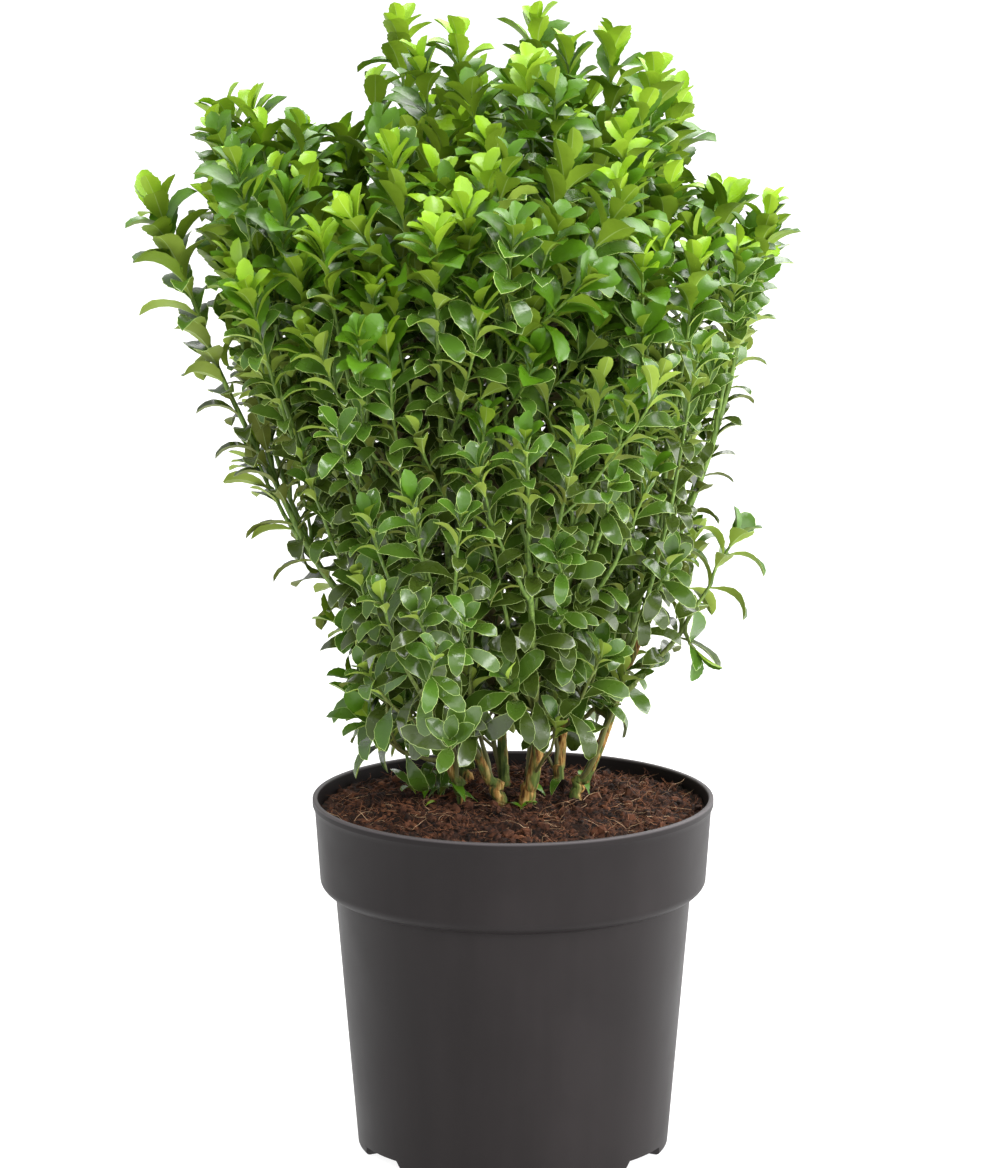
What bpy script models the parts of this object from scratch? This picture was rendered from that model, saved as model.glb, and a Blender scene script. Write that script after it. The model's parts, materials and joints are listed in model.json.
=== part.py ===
# A spindle bush in its nursery pot. Eight stems rise from the peat, fork into
# boughs and carry upright leafy shoots. Lengths are in metres, +Z is up, and the
# origin is the centre of the pot's flat underside.

import math
import random

import bmesh
import bpy
from mathutils import Matrix, Vector
from mathutils.bvhtree import BVHTree

UP = Vector((0, 0, 1))
GOLDEN_ANGLE = math.radians(137.5)
SEED = 7

# The gap between solids that touch in the real plant
CLEARANCE = 0.0003

# Pot, a thin moulded shell: radii outside, heights above the ground
POT_HEIGHT = 0.206
LIP_RADIUS = 0.115
LIP_HEIGHT = 0.0045
LIP_ROUND = 0.0007
COLLAR_TOP_RADIUS = 0.1136
COLLAR_FOOT_RADIUS = 0.1108
COLLAR_FOOT_HEIGHT = 0.159
SHOULDER_RADIUS = 0.1021
SHOULDER_HEIGHT = 0.1505
SHOULDER_ARC = math.radians(62)
SHOULDER_STEPS = 3
BASE_RADIUS = 0.0895
BASE_CHAMFER = 0.0035
POT_WALL = 0.0015
POT_FLOOR = 0.002
POT_STEPS = 36

# The floor is raised in a ring at the wall, where four drain notches are cut
RING_RADIUS = 0.0763
RING_HEIGHT = 0.0075
NOTCH_DEPTH = 0.078
NOTCH_WIDTH = 0.038
NOTCH_HEIGHT = 0.006
NOTCH_PAST = 0.006
NOTCH_ANGLES = (31.5, 148.5, 211.5, 328.5)

# Peat, flat at the wall and heaped a little where the stems stand
PEAT_EDGE_HEIGHT = 0.1975
PEAT_HEAP_HEIGHT = 0.2035
PEAT_HEAP_RADIUS = 0.074
PEAT_HEAP_FOOT = 0.098

# Stems: place in the peat, top, and the radii at the foot and the top
STEMS = {
    "stem_left": ((-0.029, 0.002), (-0.047, 0.000, 0.266), 0.0032, 0.0026),
    "stem_front": ((-0.007, -0.006), (-0.031, -0.016, 0.270), 0.0036, 0.0028),
    "stem_middle": ((-0.005, 0.039), (-0.008, 0.044, 0.284), 0.0034, 0.0028),
    "stem_main": ((0.008, -0.008), (0.020, -0.018, 0.282), 0.0048, 0.0034),
    "stem_green": ((0.026, 0.038), (0.032, 0.046, 0.282), 0.0036, 0.0028),
    "stem_right": ((0.036, 0.008), (0.064, 0.000, 0.282), 0.0036, 0.0028),
    "stem_back_left": ((-0.026, 0.046), (-0.045, 0.066, 0.270), 0.0032, 0.0026),
    "stem_back_right": ((0.010, 0.064), (0.026, 0.088, 0.274), 0.0032, 0.0026),
}
FLARE = 1.45
FLARE_HEIGHT = 0.012
STEM_POINTS = 6
STEM_UPRIGHT = 0.45

# Leafy shoots: the stem that carries each, how far up it the shoot leaves it, and
# the place of its last bud. A bare bough holds every shoot that forks off below
# its stem's top and grows past the low ones.
SHOOTS = {
    "left_outer": ("stem_left", 0.66, (-0.196, 0.010, 0.533)),
    "left_lobe_front": ("stem_left", 0.86, (-0.141, 0.026, 0.572)),
    "left_front": ("stem_left", 1.00, (-0.146, -0.070, 0.508)),
    "left_low": ("stem_left", 0.42, (-0.076, -0.034, 0.252)),
    "front_inner": ("stem_front", 0.66, (-0.066, -0.055, 0.569)),
    "front_left": ("stem_front", 0.86, (-0.103, -0.108, 0.530)),
    "front_middle": ("stem_front", 1.00, (-0.042, -0.135, 0.537)),
    "front_low_left": ("stem_front", 0.46, (-0.054, -0.142, 0.396)),
    "inner_left": ("stem_middle", 0.72, (-0.113, -0.024, 0.552)),
    "top_back_left": ("stem_middle", 0.90, (-0.064, 0.082, 0.622)),
    "top_left": ("stem_middle", 1.00, (-0.030, 0.020, 0.624)),
    "front_centre": ("stem_main", 0.70, (-0.014, -0.098, 0.563)),
    "top_middle": ("stem_main", 0.88, (0.009, -0.030, 0.610)),
    "front_right": ("stem_main", 1.00, (0.061, -0.120, 0.447)),
    "front_low_right": ("stem_main", 0.46, (0.007, -0.146, 0.430)),
    "right_short": ("stem_green", 0.44, (0.068, 0.012, 0.284)),
    "top_right": ("stem_green", 0.82, (0.078, 0.020, 0.602)),
    "top_back_right": ("stem_green", 1.00, (0.056, 0.076, 0.614)),
    "right_front": ("stem_right", 0.62, (0.099, -0.066, 0.510)),
    "right_low": ("stem_right", 0.78, (0.119, 0.004, 0.344)),
    "right_outer": ("stem_right", 0.92, (0.142, 0.022, 0.528)),
    "right_inner": ("stem_right", 1.00, (0.062, -0.045, 0.577)),
    "left_short": ("stem_back_left", 0.44, (-0.082, 0.026, 0.300)),
    "back_middle": ("stem_back_left", 0.62, (-0.022, 0.164, 0.560)),
    "left_lobe_back": ("stem_back_left", 0.76, (-0.160, 0.078, 0.574)),
    "back_left": ("stem_back_left", 0.90, (-0.098, 0.150, 0.520)),
    "inner_back_left": ("stem_back_left", 1.00, (-0.094, 0.062, 0.562)),
    "right_back_outer": ("stem_back_right", 0.60, (0.120, 0.076, 0.524)),
    "right_back": ("stem_back_right", 0.74, (0.094, 0.108, 0.577)),
    "back_right": ("stem_back_right", 0.88, (0.064, 0.158, 0.541)),
    "top_back": ("stem_back_right", 1.00, (0.014, 0.104, 0.622)),
    "back_low": ("stem_back_right", 0.46, (0.012, 0.176, 0.420)),
}
LOWEST_BOUGH = 0.5

# Growth: a shoot leaves outwards and then turns up, with side twigs beside it
RISE = 0.38
BOUGH_SHARE = 0.11
BOUGH_RADIUS = 0.0027
SHOOT_RADIUS = 0.0023
BUD_RADIUS = 0.0013
SIDE_RADIUS = 0.0016
BOUGH_POINTS = 3
SHOOT_POINTS = 6
SIDE_POINTS = 3
SIDE_SPACING = 0.125
SIDE_FIRST = 0.32
SIDE_LAST = 0.66
SIDE_LENGTH = 0.085
SIDE_LENGTH_SHARE = 0.32
SIDE_LENGTH_SPREAD = (0.8, 1.2)
SIDE_SPREAD = 0.42
SIDE_TRIES = 6
SIDE_OUTWARD = 0.3
CROWN_MIDDLE = Vector((-0.02, 0.01, 0))
BARE_SHARE = 0.03
BARE_SIDE_SHARE = 0.5

# Leaves: opposite pairs, each pair a quarter turn from the last
PAIR_SPACING = 0.0525
LEAF_LENGTH = 0.052
TIP_LEAF_LENGTH = 0.040
LEAF_WIDTH = 0.56
LEAF_THICKNESS = 0.03
LEAF_ARCH = 0.10
LEAF_WIDEST = 0.60
LEAF_ANGLE = math.radians(70)
TIP_LEAF_ANGLE = math.radians(30)
ANGLE_SPREAD = math.radians(10)
TURN_SPREAD = math.radians(14)
SIZE_SPREAD = (0.92, 1.06)
RETRY_SHRINK = 0.07
LAST_NODE = 0.995
NODE_CROWDING = 1.2
LEAF_TRIES = 4
LEAF_MARGIN = 0.0006
BLADE_START = 0.3
ROOT_SUNK = 0.45

COLOURS = {
    "pot_plastic": ((0.045, 0.042, 0.041, 1), 0.45),
    "peat": ((0.055, 0.022, 0.012, 1), 0.95),
    "bark": ((0.36, 0.20, 0.08, 1), 0.85),
    "foliage": ((0.11, 0.25, 0.03, 1), 0.50),
}


def new_collection(name):
    collection = bpy.data.collections.new(name)
    bpy.context.scene.collection.children.link(collection)
    return collection


def new_material(name):
    colour, roughness = COLOURS[name]
    material = bpy.data.materials.new(name)
    material.use_nodes = True
    shader = material.node_tree.nodes["Principled BSDF"]
    shader.inputs["Base Color"].default_value = colour
    shader.inputs["Roughness"].default_value = roughness
    shader.inputs["Metallic"].default_value = 0
    return material


def spread(first, last, count):
    return [first + (last - first) * step / (count - 1) for step in range(count)]


# A turned solid: the profile runs along the inside or top first and then down
# the outer side, and both of its ends lie on the axis
def turned(name, profile, material, parts):
    mesh = bpy.data.meshes.new(name)
    points = [(radius, 0, height) for radius, height in profile]
    edges = [(step, step + 1) for step in range(len(points) - 1)]
    mesh.from_pydata(points, edges, [])
    mesh.materials.append(material)
    solid = bpy.data.objects.new(name, mesh)
    parts.objects.link(solid)
    screw = solid.modifiers.new("turned", "SCREW")
    screw.steps = POT_STEPS
    screw.render_steps = POT_STEPS
    screw.use_merge_vertices = True
    screw.merge_threshold = 0.00001
    return solid


# The body's outer radius at a height between the chamfer and the shoulder
def body_radius(height):
    share = (height - BASE_CHAMFER) / (SHOULDER_HEIGHT - BASE_CHAMFER)
    return BASE_RADIUS + share * (SHOULDER_RADIUS - BASE_RADIUS)


# The collar's rounded foot, from its wall down to the shoulder, set in by an inset
def collar_foot(inset):
    points = []
    for angle in spread(0, SHOULDER_ARC, SHOULDER_STEPS + 1):
        outward = (math.cos(angle) - math.cos(SHOULDER_ARC)) / (1 - math.cos(SHOULDER_ARC))
        downward = math.sin(angle) / math.sin(SHOULDER_ARC)
        radius = SHOULDER_RADIUS + outward * (COLLAR_FOOT_RADIUS - SHOULDER_RADIUS)
        height = COLLAR_FOOT_HEIGHT - downward * (COLLAR_FOOT_HEIGHT - SHOULDER_HEIGHT)
        points.append((radius - inset, height))
    return points


# The inside of the wall between two heights, set further in by a gap
def inner_wall(gap, first_height, last_height):
    inset = POT_WALL + gap
    share = (last_height - COLLAR_FOOT_HEIGHT) / (POT_HEIGHT - COLLAR_FOOT_HEIGHT)
    last_radius = COLLAR_FOOT_RADIUS + share * (COLLAR_TOP_RADIUS - COLLAR_FOOT_RADIUS)
    points = [(body_radius(first_height) - inset, first_height)]
    points.extend(reversed(collar_foot(inset)))
    points.append((last_radius - inset, last_height))
    return points


def build_pot(material, parts, cutters):
    lip_foot = POT_HEIGHT - LIP_HEIGHT
    inside = [(0, POT_FLOOR), (RING_RADIUS, POT_FLOOR), (RING_RADIUS, RING_HEIGHT)]
    inside.extend(inner_wall(0, RING_HEIGHT, lip_foot))
    lip = [
        (COLLAR_TOP_RADIUS - POT_WALL + LIP_ROUND, POT_HEIGHT),
        (LIP_RADIUS - LIP_ROUND, POT_HEIGHT),
        (LIP_RADIUS, POT_HEIGHT - LIP_ROUND),
        (LIP_RADIUS, lip_foot + LIP_ROUND),
        (COLLAR_TOP_RADIUS, lip_foot),
    ]
    outside = collar_foot(0)
    outside.append((BASE_RADIUS, BASE_CHAMFER))
    outside.append((BASE_RADIUS - BASE_CHAMFER, 0))
    outside.append((0, 0))
    pot = turned("pot", inside + lip + outside, material, parts)

    depth = BASE_RADIUS - NOTCH_DEPTH + NOTCH_PAST
    for number, degrees in enumerate(NOTCH_ANGLES):
        angle = math.radians(degrees)
        middle = Matrix.Rotation(angle, 4, "Z") @ Vector((NOTCH_DEPTH + depth / 2, 0, 0))
        bpy.ops.mesh.primitive_cube_add(size=1, location=middle, rotation=(0, 0, angle))
        notch = bpy.context.object
        notch.name = "drain_notch_%d" % (number + 1)
        notch.scale = (depth, NOTCH_WIDTH, 2 * NOTCH_HEIGHT)
        notch.display_type = "WIRE"
        notch.hide_render = True
        for collection in list(notch.users_collection):
            collection.objects.unlink(notch)
        cutters.objects.link(notch)
    cut = pot.modifiers.new("drain_notches", "BOOLEAN")
    cut.operation = "DIFFERENCE"
    cut.operand_type = "COLLECTION"
    cut.collection = cutters
    return pot


def build_peat(material, parts):
    top = [
        (0, PEAT_HEAP_HEIGHT),
        (PEAT_HEAP_RADIUS, PEAT_HEAP_HEIGHT),
        (PEAT_HEAP_FOOT, PEAT_EDGE_HEIGHT),
    ]
    side = inner_wall(CLEARANCE, RING_HEIGHT + CLEARANCE, PEAT_EDGE_HEIGHT)
    side = [side[-1], side[1], side[0]]
    bottom = [
        (RING_RADIUS - CLEARANCE, RING_HEIGHT + CLEARANCE),
        (RING_RADIUS - CLEARANCE, POT_FLOOR + CLEARANCE),
        (0, POT_FLOOR + CLEARANCE),
    ]
    return turned("peat", top + side + bottom, material, parts)


# Points along part of a curve that is pulled towards its control point
def curve_points(curve, count, first=0.0, last=1.0):
    start, control, tip = curve
    points = []
    for share in spread(first, last, count):
        low = start.lerp(control, share)
        high = control.lerp(tip, share)
        points.append(low.lerp(high, share))
    return points


# The way a shoot grows: outwards at first, and then more and more upright
def growth_curve(start, tip):
    span = tip - start
    ending = span.normalized().lerp(UP, RISE).normalized()
    return start, tip - ending * span.length / 2, tip


# A tapering limb along its points: round, or with the three sides of a section
def limb(points, radii, section=None):
    curve = bpy.data.curves.new("limb", "CURVE")
    curve.dimensions = "3D"
    curve.use_fill_caps = True
    if section is None:
        curve.bevel_depth = 1
        curve.bevel_resolution = 1
    else:
        curve.bevel_mode = "OBJECT"
        curve.bevel_object = section
    spline = curve.splines.new("POLY")
    spline.points.add(len(points) - 1)
    for target, point, radius in zip(spline.points, points, radii):
        target.co = (point.x, point.y, point.z, 1)
        target.radius = radius
    shape = bpy.data.objects.new("limb", curve)
    bpy.context.scene.collection.objects.link(shape)
    graph = bpy.context.evaluated_depsgraph_get()
    mesh = bpy.data.meshes.new_from_object(shape.evaluated_get(graph))
    bpy.data.objects.remove(shape)
    bpy.data.curves.remove(curve)
    welded = bmesh.new()
    welded.from_mesh(mesh)
    bmesh.ops.remove_doubles(welded, verts=welded.verts, dist=0.00001)
    bmesh.ops.recalc_face_normals(welded, faces=welded.faces)
    welded.to_mesh(mesh)
    welded.free()
    return mesh


# The same limb, larger by the clearance all round and past its tip
def swollen_limb(points, radii):
    onward = (points[-1] - points[-2]).normalized()
    longer = points[:-1] + [points[-1] + onward * CLEARANCE]
    return limb(longer, [radius + CLEARANCE for radius in radii])


def twig_section():
    curve = bpy.data.curves.new("twig_section", "CURVE")
    curve.dimensions = "2D"
    spline = curve.splines.new("POLY")
    spline.points.add(2)
    for number, target in enumerate(spline.points):
        angle = math.tau * number / 3
        target.co = (math.cos(angle), math.sin(angle), 0, 1)
    spline.use_cyclic_u = True
    return bpy.data.objects.new("twig_section", curve)


# A unit leaf: its root at the origin, its length along Z, its upper side to +Y.
# A blade is the same leaf without the stretch next to its root.
def leaf_mesh(first=0.0):
    mesh = bpy.data.meshes.new("leaf")
    shape = bmesh.new()
    bmesh.ops.create_uvsphere(shape, u_segments=4, v_segments=2, radius=1)
    for vert in shape.verts:
        middle = 1 - abs(vert.co.z)
        end = 1 if vert.co.z > 0 else first
        vert.co.x *= LEAF_WIDTH / 2
        vert.co.y = vert.co.y * LEAF_THICKNESS / 2 + middle * LEAF_ARCH
        vert.co.z = middle * LEAF_WIDEST + (1 - middle) * end
    bmesh.ops.recalc_face_normals(shape, faces=shape.faces)
    shape.to_mesh(mesh)
    shape.free()
    return mesh


# Only the largest closed shell stays, which fills sealed hollows and drops scraps
def keep_main_shell(mesh):
    shape = bmesh.new()
    shape.from_mesh(mesh)
    shells = []
    unseen = set(shape.verts)
    while unseen:
        front = [unseen.pop()]
        shell = list(front)
        while front:
            vert = front.pop()
            for edge in vert.link_edges:
                other = edge.other_vert(vert)
                if other in unseen:
                    unseen.remove(other)
                    front.append(other)
                    shell.append(other)
        shells.append(shell)
    shells.sort(key=len)
    for shell in shells[:-1]:
        bmesh.ops.delete(shape, geom=shell, context="VERTS")
    shape.to_mesh(mesh)
    shape.free()


# A mesh with a set of others cut from it or joined to it, as one closed shell
def combined(mesh, operation, pieces):
    group = new_collection("pieces")
    for piece_mesh, matrix in pieces:
        piece = bpy.data.objects.new("piece", piece_mesh)
        piece.matrix_world = matrix
        group.objects.link(piece)
    target = bpy.data.objects.new("target", mesh)
    bpy.context.scene.collection.objects.link(target)
    boolean = target.modifiers.new("combined", "BOOLEAN")
    boolean.operation = operation
    boolean.operand_type = "COLLECTION"
    boolean.collection = group
    boolean.solver = "MANIFOLD"
    graph = bpy.context.evaluated_depsgraph_get()
    result = bpy.data.meshes.new_from_object(target.evaluated_get(graph))
    for shape in list(group.objects) + [target]:
        bpy.data.objects.remove(shape)
    bpy.data.collections.remove(group)
    keep_main_shell(result)
    return result


def add_part(name, mesh, material, parts):
    mesh.materials.clear()
    mesh.materials.append(material)
    parts.objects.link(bpy.data.objects.new(name, mesh))


def tree_of(mesh, matrix=Matrix()):
    points = [matrix @ vert.co for vert in mesh.vertices]
    faces = [tuple(face.vertices) for face in mesh.polygons]
    return BVHTree.FromPolygons(points, faces)


# The space that is taken: trees of faces, each with its owner, middle and reach
class Space:
    def __init__(self):
        self.taken = []

    def take(self, owner, mesh, matrix=Matrix()):
        points = [matrix @ vert.co for vert in mesh.vertices]
        middle = sum(points, Vector()) / len(points)
        reach = max((point - middle).length for point in points)
        self.taken.append((owner, tree_of(mesh, matrix), middle, reach))

    # Clear means apart from every other owner's solids. The blade, which is the
    # whole of a twig but only the outer part of a leaf, also misses its own.
    def is_clear(self, owner, mesh, blade, matrix=Matrix()):
        tree = tree_of(mesh, matrix)
        blade_tree = tree_of(blade, matrix) if blade else None
        points = [matrix @ vert.co for vert in mesh.vertices]
        middle = sum(points, Vector()) / len(points)
        reach = max((point - middle).length for point in points) + LEAF_MARGIN
        for edge in mesh.edges:
            first, last = edge.vertices
            points.append((points[first] + points[last]) / 2)
        for other, other_tree, other_middle, other_reach in self.taken:
            if (other_middle - middle).length > reach + other_reach:
                continue
            if other == owner:
                if blade_tree and blade_tree.overlap(other_tree):
                    return False
                continue
            if tree.overlap(other_tree):
                return False
            if any(other_tree.find_nearest(point, LEAF_MARGIN)[0] for point in points):
                return False
        return True


# A direction square to the way a twig grows, a quarter turn round from a bearing
def sideways(onward, bearing):
    level = Vector((math.cos(bearing), math.sin(bearing), 0))
    return onward.cross(level).normalized()


# The places on a twig where pairs of leaves stand: how far along, point, onward
# and sideways directions, and the twig's radius there
def leaf_nodes(points, radii, first_share, phase):
    lengths = [0]
    for low, high in zip(points, points[1:]):
        lengths.append(lengths[-1] + (high - low).length)
    grown = lengths[-1] * (1 - first_share)
    count = max(2, 1 + round(grown / PAIR_SPACING))
    nodes = []
    for number, progress in enumerate(spread(0, 1, count)):
        share = LAST_NODE - (LAST_NODE - first_share) * (1 - progress) ** NODE_CROWDING
        reach = share * lengths[-1]
        step = max(i for i in range(len(points) - 1) if lengths[i] <= reach)
        part = (reach - lengths[step]) / (lengths[step + 1] - lengths[step])
        point = points[step].lerp(points[step + 1], part)
        radius = radii[step] + part * (radii[step + 1] - radii[step])
        onward = (points[step + 1] - points[step]).normalized()
        side = Matrix.Rotation(number * math.pi / 2, 3, onward) @ sideways(onward, phase)
        nodes.append((share, point, onward, side, radius))
    return nodes


# A leaf at its node; each further attempt stands more upright and is smaller
def leaf_matrix(node, sign, dice, attempt):
    share, point, onward, side, radius = node
    angle = LEAF_ANGLE + (TIP_LEAF_ANGLE - LEAF_ANGLE) * share ** 2
    angle += dice.uniform(-ANGLE_SPREAD, ANGLE_SPREAD) * (1 + attempt)
    turn = Matrix.Rotation(dice.uniform(-TURN_SPREAD, TURN_SPREAD) * (1 + attempt), 3, onward)
    along = turn @ (onward * math.cos(angle) + side * sign * math.sin(angle))
    upper = (onward - along * onward.dot(along)).normalized()
    size = LEAF_LENGTH + (TIP_LEAF_LENGTH - LEAF_LENGTH) * share ** 2
    size *= dice.uniform(*SIZE_SPREAD) * (1 - RETRY_SHRINK * attempt)
    axes = Matrix((upper.cross(along), upper, along)).transposed().to_4x4()
    root = point - along * radius * ROOT_SUNK
    return Matrix.Translation(root) @ axes @ Matrix.Scale(size, 4)


class Shoot:
    def __init__(self, name, points, radii, mesh, dice):
        self.name = name
        self.points = points
        self.radii = radii
        self.mesh = mesh
        self.dice = dice
        self.pieces = []
        self.candidates = []

    def plan_leaves(self, points, radii, first_share):
        phase = self.dice.uniform(0, math.tau)
        for node in leaf_nodes(points, radii, first_share, phase):
            self.candidates.append((node, 1))
            self.candidates.append((node, -1))

    def grow_sides(self, section, space):
        length = sum((high - low).length for low, high in zip(self.points, self.points[1:]))
        count = int(length / SIDE_SPACING)
        bearing = self.dice.uniform(0, math.tau)
        outward = (self.points[-1] - CROWN_MIDDLE) * Vector((1, 1, 0))
        outward.normalize()
        for number, share in enumerate(spread(SIDE_FIRST, SIDE_LAST, max(2, count))[:count]):
            step = int(share * (len(self.points) - 1))
            start = self.points[step]
            onward = (self.points[step + 1] - start).normalized()
            for attempt in range(SIDE_TRIES):
                angle = bearing + (number + attempt / 2) * GOLDEN_ANGLE
                side = sideways(onward, angle)
                if side.dot(outward) > SIDE_OUTWARD:
                    continue
                reach = min(SIDE_LENGTH, SIDE_LENGTH_SHARE * length)
                reach *= self.dice.uniform(*SIDE_LENGTH_SPREAD)
                tip = start + (onward + side * SIDE_SPREAD) * reach
                points = curve_points(growth_curve(start, tip), SIDE_POINTS)
                radii = spread(SIDE_RADIUS, BUD_RADIUS, SIDE_POINTS)
                mesh = limb(points, radii, section)
                if space.is_clear(self.name, mesh, None):
                    self.pieces.append((mesh, Matrix()))
                    self.plan_leaves(points, radii, BARE_SIDE_SHARE)
                    space.take(self.name, mesh)
                    break

    def grow_leaf(self, number, leaf, blade, space):
        if number >= len(self.candidates):
            return
        node, sign = self.candidates[number]
        for attempt in range(LEAF_TRIES):
            matrix = leaf_matrix(node, sign, self.dice, attempt)
            if space.is_clear(self.name, leaf, blade, matrix):
                self.pieces.append((leaf, matrix))
                space.take(self.name, leaf, matrix)
                return


def stem_curve(name):
    (x, y), top = STEMS[name][:2]
    foot = Vector((x, y, PEAT_HEAP_HEIGHT + CLEARANCE))
    return foot, foot + UP * (top[2] - foot.z) * STEM_UPRIGHT, Vector(top)


# The stem starts straight up, so that its flat cut is level
def stem_shape(name):
    foot_radius, top_radius = STEMS[name][2:]
    foot, control, top = stem_curve(name)
    points = curve_points((foot, control, top), STEM_POINTS)
    points.insert(1, foot + UP * FLARE_HEIGHT / 2)
    radii = spread(foot_radius, top_radius, STEM_POINTS + 1)
    radii[0] *= FLARE
    radii[1] *= math.sqrt(math.sqrt(FLARE))
    return points, radii


def build_stems(material, parts, space):
    hulls = {}
    for name in STEMS:
        points, radii = stem_shape(name)
        mesh = limb(points, radii)
        add_part(name, mesh, material, parts)
        space.take(name, mesh)
        hulls[name] = [swollen_limb(points, radii)]
    return hulls


# Boughs are cut clear of their stem and of the boughs that fork off below them
def build_boughs(hulls, material, parts, space):
    for name, (stem, share, tip) in SHOOTS.items():
        if share == 1 or share < LOWEST_BOUGH:
            continue
        start = curve_points(stem_curve(stem), 2, 0, share)[-1]
        points = curve_points(growth_curve(start, Vector(tip)), BOUGH_POINTS, 0, BOUGH_SHARE)
        radii = spread(BOUGH_RADIUS, SHOOT_RADIUS, BOUGH_POINTS)
        carriers = [(hull, Matrix()) for hull in hulls[stem]]
        mesh = combined(limb(points, radii), "DIFFERENCE", carriers)
        add_part("bough_" + name, mesh, material, parts)
        space.take("bough_" + name, mesh)
        hulls[stem].append(swollen_limb(points, radii))


# A shoot's own stem starts just past its bough's tip, or is cut clear of the stem
def build_shoots(hulls, section, space):
    shoots = []
    for number, (name, (stem, share, tip)) in enumerate(SHOOTS.items()):
        start = curve_points(stem_curve(stem), 2, 0, share)[-1]
        curve = growth_curve(start, Vector(tip))
        radii = spread(SHOOT_RADIUS, BUD_RADIUS, SHOOT_POINTS)
        if share == 1 or share < LOWEST_BOUGH:
            points = curve_points(curve, SHOOT_POINTS)
            carriers = [(hull, Matrix()) for hull in hulls[stem]]
            mesh = combined(limb(points, radii, section), "DIFFERENCE", carriers)
        else:
            points = curve_points(curve, SHOOT_POINTS, BOUGH_SHARE)
            onward = (points[1] - points[0]).normalized()
            points[0] += onward * CLEARANCE
            mesh = limb(points, radii, section)
        shoots.append(Shoot(name, points, radii, mesh, random.Random(SEED * 100 + number)))
        space.take(name, mesh)
    return shoots


def build():
    for old in list(bpy.data.objects):
        bpy.data.objects.remove(old)
    parts = new_collection("potted_spindle_bush")
    cutters = new_collection("pot_cutters")
    materials = {name: new_material(name) for name in COLOURS}

    space = Space()
    pot = build_pot(materials["pot_plastic"], parts, cutters)
    peat = build_peat(materials["peat"], parts)
    graph = bpy.context.evaluated_depsgraph_get()
    for solid in (pot, peat):
        space.take(solid.name, bpy.data.meshes.new_from_object(solid.evaluated_get(graph)))
        # Out of the way while the plant grows, which evaluates the scene often
        solid.hide_viewport = True
    hulls = build_stems(materials["bark"], parts, space)
    build_boughs(hulls, materials["bark"], parts, space)

    section = twig_section()
    shoots = build_shoots(hulls, section, space)
    for shoot in shoots:
        shoot.grow_sides(section, space)
        shoot.plan_leaves(shoot.points, shoot.radii, BARE_SHARE)
        shoot.candidates.sort(key=lambda candidate: -candidate[0][0])
    bpy.data.objects.remove(section)

    leaf = leaf_mesh()
    blade = leaf_mesh(BLADE_START)
    for number in range(max(len(shoot.candidates) for shoot in shoots)):
        for shoot in shoots:
            shoot.grow_leaf(number, leaf, blade, space)
    for shoot in shoots:
        add_part(shoot.name, combined(shoot.mesh, "UNION", shoot.pieces), materials["foliage"], parts)
    for solid in (pot, peat):
        solid.hide_viewport = False


build()
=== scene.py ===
import json
import math
import random

import bmesh
import bpy
from mathutils import Euler, Matrix, Vector, noise
from mathutils.bvhtree import BVHTree

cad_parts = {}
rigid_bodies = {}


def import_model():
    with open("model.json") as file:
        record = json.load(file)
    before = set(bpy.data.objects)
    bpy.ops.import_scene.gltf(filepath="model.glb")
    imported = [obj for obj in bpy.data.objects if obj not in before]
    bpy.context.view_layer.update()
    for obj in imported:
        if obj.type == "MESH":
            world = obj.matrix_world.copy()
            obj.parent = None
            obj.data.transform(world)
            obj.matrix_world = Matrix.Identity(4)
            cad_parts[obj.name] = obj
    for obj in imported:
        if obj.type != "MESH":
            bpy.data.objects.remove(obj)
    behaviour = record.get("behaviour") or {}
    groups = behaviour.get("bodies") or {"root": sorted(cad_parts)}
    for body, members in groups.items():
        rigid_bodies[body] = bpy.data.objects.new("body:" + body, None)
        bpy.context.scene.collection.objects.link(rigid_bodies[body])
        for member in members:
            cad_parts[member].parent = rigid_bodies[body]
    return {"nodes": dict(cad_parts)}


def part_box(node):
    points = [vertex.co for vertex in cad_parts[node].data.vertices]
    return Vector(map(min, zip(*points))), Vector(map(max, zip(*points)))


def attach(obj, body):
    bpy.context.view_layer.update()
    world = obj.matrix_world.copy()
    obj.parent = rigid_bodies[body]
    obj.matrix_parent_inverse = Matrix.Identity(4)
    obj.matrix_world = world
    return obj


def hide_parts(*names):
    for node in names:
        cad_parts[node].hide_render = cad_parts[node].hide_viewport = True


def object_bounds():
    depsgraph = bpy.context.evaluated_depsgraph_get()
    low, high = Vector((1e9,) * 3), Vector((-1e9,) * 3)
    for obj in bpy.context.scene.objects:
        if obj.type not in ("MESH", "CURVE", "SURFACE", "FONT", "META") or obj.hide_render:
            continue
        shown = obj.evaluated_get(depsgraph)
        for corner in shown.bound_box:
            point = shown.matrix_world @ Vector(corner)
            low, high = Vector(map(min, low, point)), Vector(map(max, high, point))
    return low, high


# A spindle bush in its nursery pot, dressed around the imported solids.
# Lengths are in metres, +Z is up and the origin is under the middle of the pot.

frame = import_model()
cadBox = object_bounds()
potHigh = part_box("pot")[1]
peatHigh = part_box("peat")[1]
up = Vector((0, 0, 1))
print("frame loaded, %d nodes" % len(frame["nodes"]))


# helpers

# one node; its inputs are given as plain values or as sockets to link
def put(tree, kind, values=None, **settings):
    node = tree.nodes.new(kind)
    for key, value in settings.items():
        setattr(node, key, value)
    for key, value in (values or {}).items():
        if isinstance(value, bpy.types.NodeSocket):
            tree.links.new(value, node.inputs[key])
        else:
            node.inputs[key].default_value = value
    return node


# a new node's first output
def out(tree, kind, values=None, **settings):
    return put(tree, kind, values, **settings).outputs[0]


# between two values, and never past them
def mix(low, high, share):
    return low + (high - low) * min(1, max(0, share))


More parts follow.
